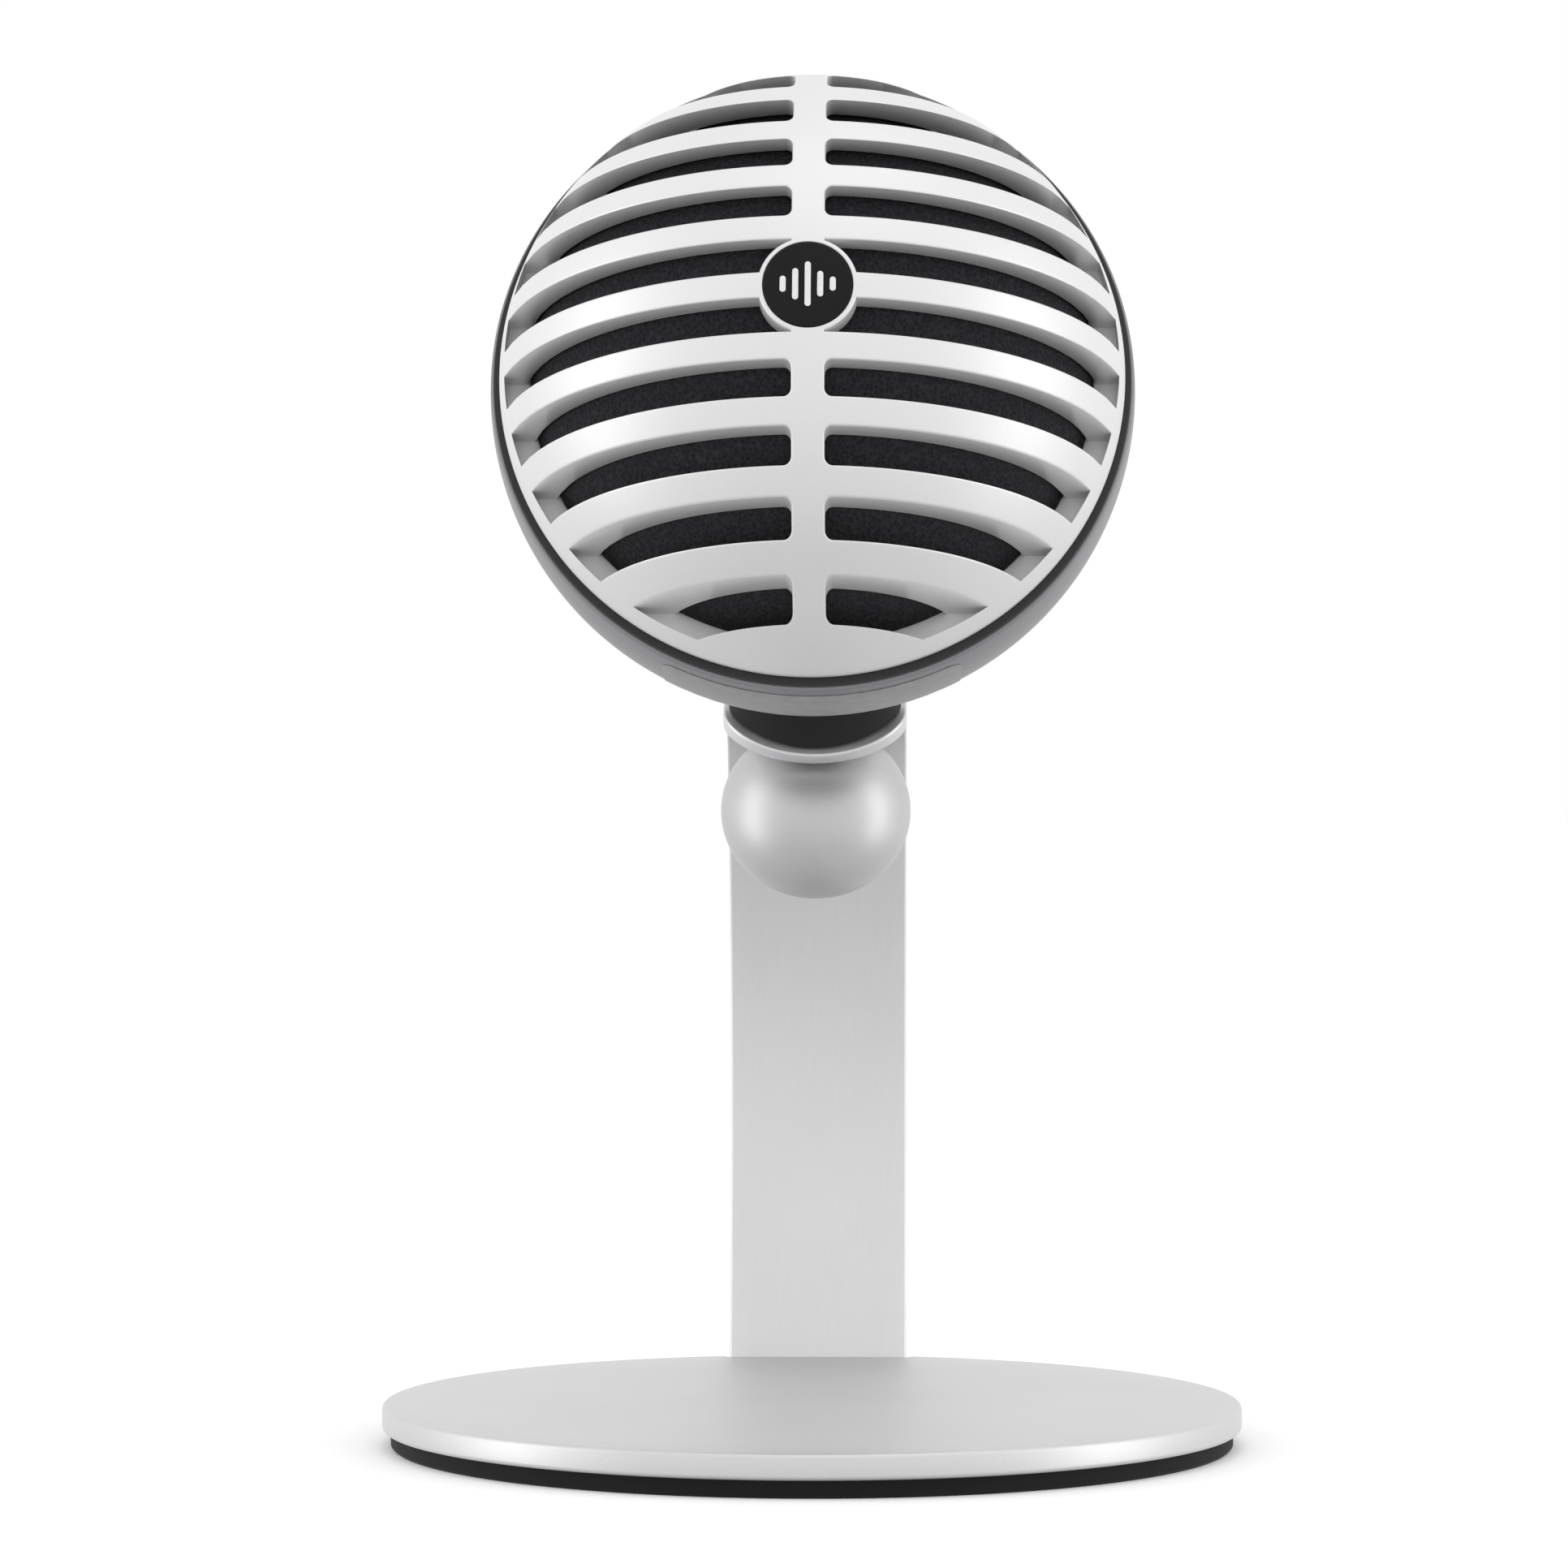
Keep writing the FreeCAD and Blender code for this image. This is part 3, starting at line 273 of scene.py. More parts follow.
def plate(borders, inner, top, bottom):
    """A closed plate between two faces: its outer border first, then its holes; inner adds points."""
    flat = [Vector(point) for outline, rings in borders for point in outline]
    flat += [Vector(point) for point in inner]
    edges = []
    vertices = []
    faces = []
    upper = []
    lower = []
    start = 0
    for outline, rings in borders:
        count = len(outline)
        edges += [(start + n, start + (n + 1) % count) for n in range(count)]
        start += count
        first = len(vertices)
        for ring in rings:
            vertices += ring
        for row in range(len(rings) - 1):
            for n in range(count):
                here = first + row * count + n
                there = first + row * count + (n + 1) % count
                faces.append((here, there, there + count, here + count))
        upper += [first + n for n in range(count)]
        lower += [first + (len(rings) - 1) * count + n for n in range(count)]
    for point in inner:
        upper.append(len(vertices))
        vertices.append(top(point, 0))
        lower.append(len(vertices))
        vertices.append(bottom(point, 0))
    made = geometry.delaunay_2d_cdt(flat, edges, [], 1, 1e-9)
    source = [origins[0] for origins in made[3]]
    holes = [hole_test(outline) for outline, rings in borders[1:]]
    for triangle in made[2]:
        a, b, c = (source[corner] for corner in triangle)
        middle = (flat[a] + flat[b] + flat[c]) / 3
        if any(within(middle) for within in holes):
            continue
        faces.append((upper[a], upper[c], upper[b]))
        faces.append((lower[a], lower[b], lower[c]))
    return vertices, faces


pad_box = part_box("base_pad")
disc_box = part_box("base_disc")
PAD_TOP = pad_box[1].z
DISC_TOP = disc_box[1].z
DISC_R = disc_box[1].x
NOTCH_HALF = 10.05 * MM
NOTCH_Y = 42.5 * MM
DISC_EDGE = 0.5 * MM
DISC_STEPS = 200
DISC_RINGS = (38, 28, 18, 8)
DISC_SPOKES = 24
QUARTERS = (0.25, 0.5, 0.75)


def disc_outline(inset):
    """The base's round edge and its flat notch behind, a distance inside them."""
    radius = DISC_R - inset
    half = NOTCH_HALF + inset
    deep = NOTCH_Y - inset
    corner = math.asin(half / radius)
    points = []
    for step in range(DISC_STEPS + 1):
        turn = math.pi / 2 + corner + (2 * math.pi - 2 * corner) * step / DISC_STEPS
        points.append((radius * math.cos(turn), radius * math.sin(turn)))
    for share in (0.0, *QUARTERS, 1.0):
        points.append((half - 2 * half * share, deep))
    return points


def disc_top(point, depth):
    return Vector((point[0], point[1], DISC_TOP - depth))


def disc_bottom(point, depth):
    return Vector((point[0], point[1], PAD_TOP + depth))


disc_points = [
    (radius * MM * math.cos(turn * math.pi / (DISC_SPOKES / 2)),
     radius * MM * math.sin(turn * math.pi / (DISC_SPOKES / 2)))
    for radius in DISC_RINGS for turn in range(DISC_SPOKES)
]
vertices, faces = plate([edge_rings(disc_outline, disc_top, disc_bottom, DISC_EDGE)],
                        disc_points, disc_top, disc_bottom)

blasted_steel, wire = new_finish("blasted_steel")
steel_cloud = grain(wire, 60.0)
steel_speck = grain(wire, 4200.0)
plug_in(blasted_steel, {
    "Base Color": tint(wire, steel_cloud * 0.5 + steel_speck * 0.5,
                       (0.60, 0.60, 0.61), (0.70, 0.70, 0.705)),
    "Metallic": 0.85,
    "Roughness": 0.40 + 0.10 * steel_speck,
    "Normal": relief(wire, steel_speck, 0.25, 0.00004),
})
base_plate = finished_piece("base_plate", vertices, faces, blasted_steel, "stand", "satin_steel")
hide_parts("base_disc")


# Arm: one strip of spring steel, bent up behind the base, swept over in a long curve and
# curled round the ball, with a slot for the stud and a rounded tip. Brushed along its length.
pivot = Vector(joints["head_tilt"]["pos_m"])
ARM_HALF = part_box("stand_arm")[1].x
ARM_T = 1.9 * MM
ARM_EDGE = 0.3 * MM
TAB_Z = 0.8 * MM
TAB_FRONT = 24.0 * MM
BEND_R = 2.0 * MM
SWEEP_R = 71.0 * MM
CURL_R = 11.6 * MM
CURL_START = math.radians(35.0)
CURL_TIP = math.radians(152.0)
TIP_ROUND = 6.3 * MM
STUD_SLOT = (math.radians(76.5), math.radians(120.5))
SLOT_HALF = 3.4 * MM
TAB_STEPS = 5
BEND_STEPS = 10
SWEEP_STEPS = 50
CURL_STEPS = 24
TIP_STEPS = 32
STUD_SLOT_STEPS = 12
ARM_ACROSS = (-7.4, -4.9, -2.4, 0.0, 2.4, 4.9, 7.4)
SLOT_CLEAR = 0.8 * MM
TIP_FILLED = 0.86

sweep_reach = SWEEP_R - CURL_R
sweep_y = pivot.y - sweep_reach * math.cos(CURL_START)
sweep_z = pivot.z - sweep_reach * math.sin(CURL_START)
bend_z = TAB_Z + ARM_T / 2 + BEND_R
bend_y = sweep_y + math.sqrt((SWEEP_R - BEND_R) ** 2 - (sweep_z - bend_z) ** 2)
sweep_low = math.atan2(bend_z - sweep_z, bend_y - sweep_y)
tab_run = bend_y - TAB_FRONT
bend_run = BEND_R * (math.pi / 2 + sweep_low)
sweep_run = SWEEP_R * (CURL_START - sweep_low)
curl_run = CURL_R * (CURL_TIP - CURL_START)
arm_run = tab_run + bend_run + sweep_run + curl_run


def arm_place(along, off):
    """The point of the arm's side view at a length along its middle and a height off it, outwards."""
    if along < tab_run:
        return TAB_FRONT + along, TAB_Z + ARM_T / 2 - off
    along -= tab_run
    for radius, centre, start, run in (
        (BEND_R, (bend_y, bend_z), -math.pi / 2, bend_run),
        (SWEEP_R, (sweep_y, sweep_z), sweep_low, sweep_run),
        (CURL_R, (pivot.y, pivot.z), CURL_START, 2 * curl_run),
    ):
        if along <= run:
            turn = start + along / radius
            reach = radius + off
            return centre[0] + reach * math.cos(turn), centre[1] + reach * math.sin(turn)
        along -= run


def arm_out(point, depth):
    y, z = arm_place(point[1], ARM_T / 2 - depth)
    return Vector((point[0], y, z))


def arm_in(point, depth):
    y, z = arm_place(point[1], depth - ARM_T / 2)
    return Vector((point[0], y, z))


def spread(start, end, count):
    """Evenly spaced values from start up to, but not with, end."""
    return [start + (end - start) * step / count for step in range(count)]


curl_from = arm_run - curl_run
arm_lengths = spread(0.0, tab_run, TAB_STEPS) + spread(tab_run, tab_run + bend_run, BEND_STEPS)
arm_lengths += spread(tab_run + bend_run, curl_from, SWEEP_STEPS)
arm_lengths += spread(curl_from, arm_run - TIP_ROUND, CURL_STEPS) + [arm_run - TIP_ROUND]


def arm_outline(inset):
    """The strip's flat outline: straight sides, square tab end and half-elliptical tip."""
    half = ARM_HALF - inset
    lengths = [max(length, inset) for length in arm_lengths]
    points = [(half, length) for length in lengths]
    for turn in spread(0.0, math.pi, TIP_STEPS)[1:]:
        points.append((half * math.cos(turn), lengths[-1] + (TIP_ROUND - inset) * math.sin(turn)))
    points += [(-half, length) for length in reversed(lengths)]
    points += [(-half + 2 * half * share, inset) for share in QUARTERS]
    return points


def slot_outline(inset):
    """The stud's slot, with round ends; inset widens it."""
    near, far = (curl_from + CURL_R * (end - CURL_START) for end in STUD_SLOT)
    half = SLOT_HALF + inset
    turns = spread(0, math.pi, STUD_SLOT_STEPS)
    points = [(half, length) for length in spread(near, far, STUD_SLOT_STEPS)]
    points += [(half * math.cos(turn), far + half * math.sin(turn)) for turn in turns]
    points += [(-half, length) for length in spread(far, near, STUD_SLOT_STEPS)]
    points += [(-half * math.cos(turn), near - half * math.sin(turn)) for turn in turns]
    return points


slot_middle = curl_from + CURL_R * (sum(STUD_SLOT) / 2 - CURL_START)
slot_reach = CURL_R * (STUD_SLOT[1] - STUD_SLOT[0]) / 2
arm_points = []
for length in arm_lengths[1:] + [arm_run - TIP_ROUND * share for share in reversed(QUARTERS)]:
    for across in ARM_ACROSS:
        over = max(abs(length - slot_middle) - slot_reach, 0)
        in_slot = math.hypot(over, across * MM) < SLOT_HALF + SLOT_CLEAR
        past = max(length - (arm_run - TIP_ROUND), 0) / TIP_ROUND
        if not in_slot and math.hypot(past, across * MM / ARM_HALF) < TIP_FILLED:
            arm_points.append((across * MM, length))
arm_borders = [edge_rings(outline, arm_out, arm_in, ARM_EDGE) for outline in (arm_outline, slot_outline)]
vertices, faces = plate(arm_borders, arm_points, arm_out, arm_in)

brushed_steel, wire = new_finish("brushed_steel")
brush_line = grain(wire, 900.0, (6.0, 0.25, 0.25))
brush_cloud = grain(wire, 70.0)
plug_in(brushed_steel, {
    "Base Color": tint(wire, brush_line * 0.5 + brush_cloud * 0.5,
                       (0.65, 0.65, 0.66), (0.77, 0.77, 0.775)),
    "Metallic": 0.85,
    "Roughness": 0.36 + 0.12 * brush_line,
    "Normal": relief(wire, brush_line, 0.12, 0.00003),
})
arm_strip = finished_piece("arm_strip", vertices, faces, brushed_steel, "stand", "satin_steel")
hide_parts("stand_arm")


# Screws: zinc-plated steel, turned, with the swirl of the tool left in their heads.
plated_steel, wire = new_finish("plated_steel")
plated_speck = grain(wire, 2600.0)
plug_in(plated_steel, {
    "Base Color": tint(wire, plated_speck, (0.42, 0.42, 0.43), (0.60, 0.60, 0.61)),
    "Metallic": 1.0,
    "Roughness": 0.28 + 0.2 * plated_speck,
    "Normal": relief(wire, plated_speck, 0.2, 0.00003),
})
for name in ("arm_screws", "frame_screws", "board_screws", "io_screws", "panel_screws", "wheel_axle"):
    dress(name, plated_steel)


# Rear housing: a moulded shell in satin silver, its colour set much darker than the grille's as painted
# shade for the shadow and dim reflection under the head. The head leans back on the arm, so its pieces
# are placed from the dome's centre along the head's own directions.
DOME_R = 33.0 * MM
HOUSING_R = 33.8 * MM
HOUSING_SHIFT = 0.7 * MM
HOUSING_WALL = 2.0 * MM
LIP_IN_R = 32.65 * MM
LIP_FRONT = -3.4 * MM
REBATE_BACK = -0.3 * MM
HOUSING_END = 27.0 * MM
PANEL_SEAT_R = 20.45 * MM
PANEL_SEAT = 25.2 * MM
PANEL_LEDGE_R = 18.0 * MM
PANEL_LEDGE = 23.4 * MM
HOUSING_ROUND = 0.35 * MM
OUTER_STEPS = 60
INNER_STEPS = 40
TURN_STEPS = 256
CORNER_SHARE = 0.45
FLAT_CORNER = math.radians(160)
TINY = 1e-9
AXIS_R = 1e-6

dome_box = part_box("grille_dome")
back_way = -Vector(joints["mode_press"]["axis"])
up_way = Vector(joints["volume_turn"]["axis"])
side_way = Vector((1, 0, 0))
dome_centre = Vector((0, dome_box[0].y + DOME_R, dome_box[1].z - DOME_R))
head = Matrix((side_way, back_way, up_way)).transposed().to_4x4()
head.translation = dome_centre


def in_head(x, depth, z):
    """A point given across, back along and up the head, in the model's frame."""
    return head @ Vector((x, depth, z))


def arc(centre, radius, start, end, steps):
    """Points of a side view along an arc about a point of the head's axis, as (radius, depth)."""
    points = []
    for step in range(steps + 1):
        turn = start + (end - start) * step / steps
        points.append((radius * math.cos(turn), centre + radius * math.sin(turn)))
    return points


def softened(corners, size, steps=4):
    """A closed side view with every sharp corner rounded; size is how far the rounding reaches."""
    points = []
    count = len(corners)
    for n, corner in enumerate(corners):
        here = Vector(corner)
        before = Vector(corners[n - 1]) - here
        after = Vector(corners[(n + 1) % count]) - here
        if min(before.length, after.length) < TINY or before.angle(after) > FLAT_CORNER:
            points.append(corner)
            continue
        reach_in = before.normalized() * min(size, before.length * CORNER_SHARE)
        reach_out = after.normalized() * min(size, after.length * CORNER_SHARE)
        for step in range(steps + 1):
            share = step / steps
            point = here + reach_in * (1 - share) ** 2 + reach_out * share ** 2
            points.append((point.x, point.y))
    return points


def turned(side_view, place=in_head, steps=TURN_STEPS):
    """A closed side view of (radius, depth) points, turned about the head's axis or another."""
    vertices = []
    faces = []
    count = len(side_view)
    for step in range(steps):
        turn = 2 * math.pi * step / steps
        for radius, depth in side_view:
            radius = max(radius, AXIS_R)
            vertices.append(place(radius * math.cos(turn), depth, radius * math.sin(turn)))
    for step in range(steps):
        for n in range(count):
            a = step * count + n
            b = step * count + (n + 1) % count
            c = (step + 1) % steps * count + (n + 1) % count
            d = (step + 1) % steps * count + n
            faces.append((a, b, c, d))
    return vertices, faces


def rise(radius, depth):
    """The angle on a ball at which its surface is at a depth from the ball's centre."""
    return math.asin(depth / radius)


inner_r = HOUSING_R - HOUSING_WALL
housing_view = [(LIP_IN_R, REBATE_BACK), (LIP_IN_R, LIP_FRONT)]
housing_view += arc(HOUSING_SHIFT, HOUSING_R, rise(HOUSING_R, LIP_FRONT - HOUSING_SHIFT),
                    rise(HOUSING_R, HOUSING_END - HOUSING_SHIFT), OUTER_STEPS)
housing_view += [
    (PANEL_SEAT_R, HOUSING_END), (PANEL_SEAT_R, PANEL_SEAT),
    (PANEL_LEDGE_R, PANEL_SEAT), (PANEL_LEDGE_R, PANEL_LEDGE),
]
housing_view += arc(HOUSING_SHIFT, inner_r, rise(inner_r, PANEL_LEDGE - HOUSING_SHIFT),
                    rise(inner_r, REBATE_BACK - HOUSING_SHIFT), INNER_STEPS)

housing_shaded_silver, wire = new_finish("housing_shaded_silver")
paint_flake = grain(wire, 5200.0)
paint_cloud = grain(wire, 90.0)
plug_in(housing_shaded_silver, {
    # Painted shade: this colour is kept dark for the shadow and dim reflection under the head.
    "Base Color": tint(wire, paint_flake * 0.6 + paint_cloud * 0.4,
                       (0.20, 0.20, 0.21), (0.28, 0.28, 0.29)),
    "Metallic": 0.6,
    "Roughness": 0.38 + 0.12 * paint_flake,
    "Coat Weight": 0.15,
    "Coat Roughness": 0.3,
    "Normal": relief(wire, paint_flake, 0.18, 0.00004),
})
housing_shell = finished_piece("housing_shell", *turned(softened(housing_view, HOUSING_ROUND)),
                               housing_shaded_silver, "head", "silver_shell")
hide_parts("rear_housing")


# Sticker under the housing: thin metallised film with rounded corners, left blank.
LABEL_HALF = 15.5 * MM
LABEL_FROM = -1.8 * MM
LABEL_TO = 9.2 * MM
LABEL_ROUND = 1.6 * MM
LABEL_T = 0.1 * MM
LABEL_GLUE = 0.01 * MM
LABEL_EDGE = 0.03 * MM
LABEL_CORNER_STEPS = 8
LABEL_WIDE_STEPS = 16
LABEL_LONG_STEPS = 6


def label_outline(inset):
    """The sticker's rounded rectangle, as (across, depth along the head)."""
    points = []
    middle = (LABEL_FROM + LABEL_TO) / 2
    long_half = (LABEL_TO - LABEL_FROM) / 2 - LABEL_ROUND
    wide_half = LABEL_HALF - LABEL_ROUND
    sides = ((1, 1, 0), (-1, 1, 1), (-1, -1, 2), (1, -1, 3))
    for n, (across, along, quarter) in enumerate(sides):
        for step in range(LABEL_CORNER_STEPS + 1):
            turn = math.pi / 2 * (quarter + step / LABEL_CORNER_STEPS)
            points.append((across * wide_half + (LABEL_ROUND - inset) * math.cos(turn),
                           middle + along * long_half + (LABEL_ROUND - inset) * math.sin(turn)))
        near, far = points[-1], sides[(n + 1) % 4]
        end = (far[0] * wide_half + (LABEL_ROUND - inset) * math.cos(math.pi / 2 * (n + 1)),
               middle + far[1] * long_half + (LABEL_ROUND - inset) * math.sin(math.pi / 2 * (n + 1)))
        runs = LABEL_WIDE_STEPS if n % 2 == 0 else LABEL_LONG_STEPS
        for step in range(1, runs):
            share = step / runs
            points.append((near[0] + (end[0] - near[0]) * share, near[1] + (end[1] - near[1]) * share))
    return points


def on_housing(point, radius):
    across, depth = point
    drop = math.sqrt(radius ** 2 - (depth - HOUSING_SHIFT) ** 2 - across ** 2)
    return in_head(across, depth, -drop)


def label_face(point, depth):
    return on_housing(point, HOUSING_R + LABEL_T - depth)


def label_glue(point, depth):
    return on_housing(point, HOUSING_R + LABEL_GLUE + depth)


label_points = [(across * 2 * MM, LABEL_FROM + along * 1.8 * MM)
                for across in range(-7, 8) for along in range(1, 6)]

label_film, wire = new_finish("label_film")
film_mottle = grain(wire, 700.0)
plug_in(label_film, {
    "Base Color": tint(wire, film_mottle, (0.24, 0.24, 0.24), (0.38, 0.38, 0.38)),
    "Metallic": 0.3,
    "Roughness": 0.45 + 0.15 * film_mottle,
    "Normal": relief(wire, film_mottle, 0.2, 0.00005),
})
vertices, faces = plate([edge_rings(label_outline, label_face, label_glue, LABEL_EDGE)],
                        label_points, label_face, label_glue)
blank_label = finished_piece("blank_label", vertices, faces, label_film, "head", "label_paper")
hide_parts("info_label")


# Trim ring: a thin moulded ring in dark satin grey, pinched between the grille and the
# housing's lip, with a skirt that centres it in the lip.
RING_VIEW = ((30.0, -4.2), (33.25, -4.2), (33.25, -3.5), (32.6, -3.5),
             (32.6, -0.3), (32.05, -0.3), (32.05, -2.3), (30.0, -2.3))
RING_ROUND = 0.2 * MM

dark_satin, wire = new_finish("dark_satin")
ring_speck = grain(wire, 3000.0)
plug_in(dark_satin, {
    "Base Color": tint(wire, ring_speck, (0.016, 0.016, 0.017), (0.034, 0.034, 0.036)),
    "Roughness": 0.46 + 0.12 * ring_speck,
    "Specular IOR Level": 0.3,
    "Normal": relief(wire, ring_speck, 0.15, 0.00004),
})
ring_view = softened([(radius * MM, depth * MM) for radius, depth in RING_VIEW], RING_ROUND)
seal_ring = finished_piece("seal_ring", *turned(ring_view), dark_satin, "head", "dark_ring")
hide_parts("trim_ring")


# Foam lining: a dome of open-cell foam behind the grille that keeps breath off the capsule,
# its skin pitted with small torn cells.
FOAM_R = 29.85 * MM
FOAM_T = 2.5 * MM
FOAM_BACK = -2.4 * MM
FOAM_RINGS = 150
FOAM_TURNS = 420
FOAM_INNER_RINGS = 30
PIT_DEPTH = 0.09 * MM
FINE_PITS = 2600
COARSE_PITS = 1100


def pitting(point):
    """How far the foam's torn cells push a point of its skin out or in."""
    return PIT_DEPTH * (noise.noise(point * FINE_PITS) * 0.6 + noise.noise(point * COARSE_PITS) * 0.4)


outer_view = arc(0, FOAM_R, -math.pi / 2, rise(FOAM_R, FOAM_BACK), FOAM_RINGS)
foam_inner = FOAM_R - FOAM_T
inner_view = arc(0, foam_inner, rise(foam_inner, FOAM_BACK), -math.pi / 2, FOAM_INNER_RINGS)
vertices, faces = turned(outer_view + inner_view, in_head, FOAM_TURNS)
for n, vertex in enumerate(vertices):
    if n % (len(outer_view) + len(inner_view)) < len(outer_view) - 1:
        out = vertex - dome_centre
        vertices[n] = dome_centre + out.normalized() * (out.length + pitting(vertex))

open_foam, wire = new_finish("open_foam")
cells = wire.make("TexVoronoi", {"feature": "F1"},
                  {"Vector": wire.make("TexCoord", out=3), "Scale": 2400.0})
fibre = grain(wire, 3800.0)
plug_in(open_foam, {
    "Base Color": tint(wire, cells * 0.7 + fibre * 0.3, (0.004, 0.004, 0.005), (0.040, 0.040, 0.044)),
    "Roughness": 0.95,
    "Specular IOR Level": 0.25,
    "Normal": relief(wire, cells * 0.6 + fibre * 0.4, 1.0, 0.0003),
})
foam_dome = finished_piece("foam_dome", vertices, faces, open_foam, "head", "black_foam")
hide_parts("grille_foam")


# Grille: a moulded dome with rows of slots cut straight back through it on both sides of a
# rib, a round seat for the badge, and a flat step behind the slots' ends. Sprayed satin silver.
GRILLE_IN_R = 30.2 * MM
STEP_DEPTH = 4.7 * MM
RIM_R = 32.25 * MM
ROWS = 10
PITCH = 6.2 * MM
SLOT_H = 3.5 * MM
SLOT_TIP_R = 31.8 * MM
SLOT_CORNER = 0.8 * MM
RIB_HALF = 1.65 * MM
SEAT_R = 5.0 * MM
SEAT_HOLE_R = 4.5 * MM
SEAT_ROUND = 0.12 * MM
GRILLE_ROUND = 0.22 * MM
TIP_SLOPE = 0.3
RIM_LEANS = (0.205, 0.196, 0.187, 0.178, 0.170)
RIM_WALL = ((32.545, 5.35), (32.54, 5.0), (32.5, 4.65), (32.43, 4.38), (32.32, 4.23), (32.2, 4.2),
            (32.2, 4.4))
RIM_STEPS = 240
SEAT_STEPS = 96
SLOT_RUN_STEPS = 26
SLOT_TIP_STEPS = 8
SLOT_CORNER_STEPS = 6
SLOT_END_STEPS = 3
SEAT_WALL_STEPS = 2
SEAT_ARC_STEPS = 12


def dome_face(point, depth):
    x, z = point
    ahead = math.sqrt(max(DOME_R ** 2 - x ** 2 - z ** 2, 0))
    return in_head(x, depth - ahead, z)


def dome_back(point, depth):
    x, z = point
    ahead = math.sqrt(max(GRILLE_IN_R ** 2 - x ** 2 - z ** 2, STEP_DEPTH ** 2))
    return in_head(x, -ahead - depth, z)


def run_between(start, end, count):
    """Points of a straight run, from its start up to, but not with, its end."""
    return [(start[0] + (end[0] - start[0]) * n / count, start[1] + (end[1] - start[1]) * n / count)
            for n in range(count)]


def round_between(centre, radius, start, end, count):
    """Points of an arc, from its start angle up to, but not with, its end angle."""
    return [(centre[0] + radius * math.cos(turn), centre[1] + radius * math.sin(turn))
            for turn in spread(start, end, count)]


def half_slot(row, side):
    """The outline of one half of a row's slot; its inset widens the slot."""
    middle = (row - (ROWS - 1) / 2) * PITCH
    by_badge = abs(middle) < PITCH
    flip = -1 if middle < 0 else 1

    def slot_loop(inset):
        low = abs(middle) - SLOT_H / 2 - inset
        high = abs(middle) + SLOT_H / 2 + inset
        tip = SLOT_TIP_R + inset * TIP_SLOPE
        rib = RIB_HALF - inset
        low_end = (math.sqrt(tip ** 2 - low ** 2), low)
        high_end = (math.sqrt(tip ** 2 - high ** 2), high)
        corner = SLOT_CORNER + inset
        seat = SEAT_R - inset
        low_start = (math.sqrt(seat ** 2 - low ** 2), low) if by_badge else (rib + corner, low)
        high_start = (rib, high) if by_badge else (rib + corner, high)
        points = run_between(low_start, low_end, SLOT_RUN_STEPS)
        points += round_between((0, 0), tip, math.atan2(low_end[1], low_end[0]),
                                math.atan2(high_end[1], high_end[0]), SLOT_TIP_STEPS)
        points += run_between(high_end, high_start, SLOT_RUN_STEPS)
        if by_badge:
            meet = math.atan2(math.sqrt(seat ** 2 - rib ** 2), rib)
            points += run_between(high_start, (rib, seat * math.sin(meet)), SEAT_WALL_STEPS)
            points += round_between((0, 0), seat, meet, math.atan2(low, low_start[0]), SEAT_ARC_STEPS)
        else:
            points += round_between((rib + corner, high - corner), corner, math.pi / 2, math.pi,
                                    SLOT_CORNER_STEPS)
            points += run_between((rib, high - corner), (rib, low + corner), SLOT_END_STEPS)
            points += round_between((rib + corner, low + corner), corner, math.pi, math.pi * 1.5,
                                    SLOT_CORNER_STEPS)
        return [(side * x, flip * z) for x, z in points]

    return slot_loop


def seat_outline(inset):
    """The hole through the grille behind the badge; inset widens it."""
    return round_between((0, 0), SEAT_HOLE_R + inset, 0, 2 * math.pi, SEAT_STEPS)


rim_circle = round_between((0, 0), RIM_R, 0, 2 * math.pi, RIM_STEPS)
rim_rings = [[dome_face(point, 0) for point in rim_circle]]
for lean in RIM_LEANS:
    radius = DOME_R * math.cos(lean)
    rim_rings.append([dome_face((x * radius / RIM_R, z * radius / RIM_R), 0) for x, z in rim_circle])
for radius, ahead in RIM_WALL:
    rim_rings.append([in_head(x * radius * MM / RIM_R, -ahead * MM, z * radius * MM / RIM_R)
                      for x, z in rim_circle])
rim_rings.append([dome_back(point, 0) for point in rim_circle])
borders = [(rim_circle, rim_rings), edge_rings(seat_outline, dome_face, dome_back, SEAT_ROUND)]
for row in range(ROWS):
    for side in (1, -1):
        borders.append(edge_rings(half_slot(row, side), dome_face, dome_back, GRILLE_ROUND))

# The lands between the slots get a triangular grid of points, kept clear of every edge.
LAND_STEP = 1.3 * MM
LAND_SQUEEZE = 0.775
LAND_REACH = 26
LAND_CLEAR = 0.42 * MM
RIM_CLEAR = 0.3 * MM
EDGE_CLEAR = 0.7
slot_points = [Vector(point) for outline, rings in borders[1:] for point in outline]
land_points = []
rows_of_points = int(RIM_R / (LAND_STEP * LAND_SQUEEZE))
for n in range(-rows_of_points, rows_of_points + 1):
    z = n * LAND_STEP * LAND_SQUEEZE
    for m in range(-LAND_REACH, LAND_REACH + 1):
        x = (m + 0.5 * (n % 2)) * LAND_STEP
        if math.hypot(x, z) > RIM_R - RIM_CLEAR:
            continue
        nearest = (abs(z) / PITCH) % 1.0
        in_row = abs(nearest - 0.5) * PITCH < SLOT_H / 2 + LAND_CLEAR
        on_rib = abs(x) < RIB_HALF - LAND_CLEAR
        on_seat = math.hypot(x, z) < SEAT_R
        beyond_rows = abs(z) > ROWS / 2 * PITCH - 0.5 * PITCH + SLOT_H / 2 + LAND_CLEAR
        if not on_seat and (on_rib or beyond_rows or not in_row):
            if min((Vector((x, z)) - edge).length for edge in slot_points) > LAND_CLEAR * EDGE_CLEAR:
                land_points.append((x, z))
vertices, faces = plate(borders, land_points, dome_face, dome_back)

BALL_SLACK = 0.002 * MM
BALL_FACING = 0.7


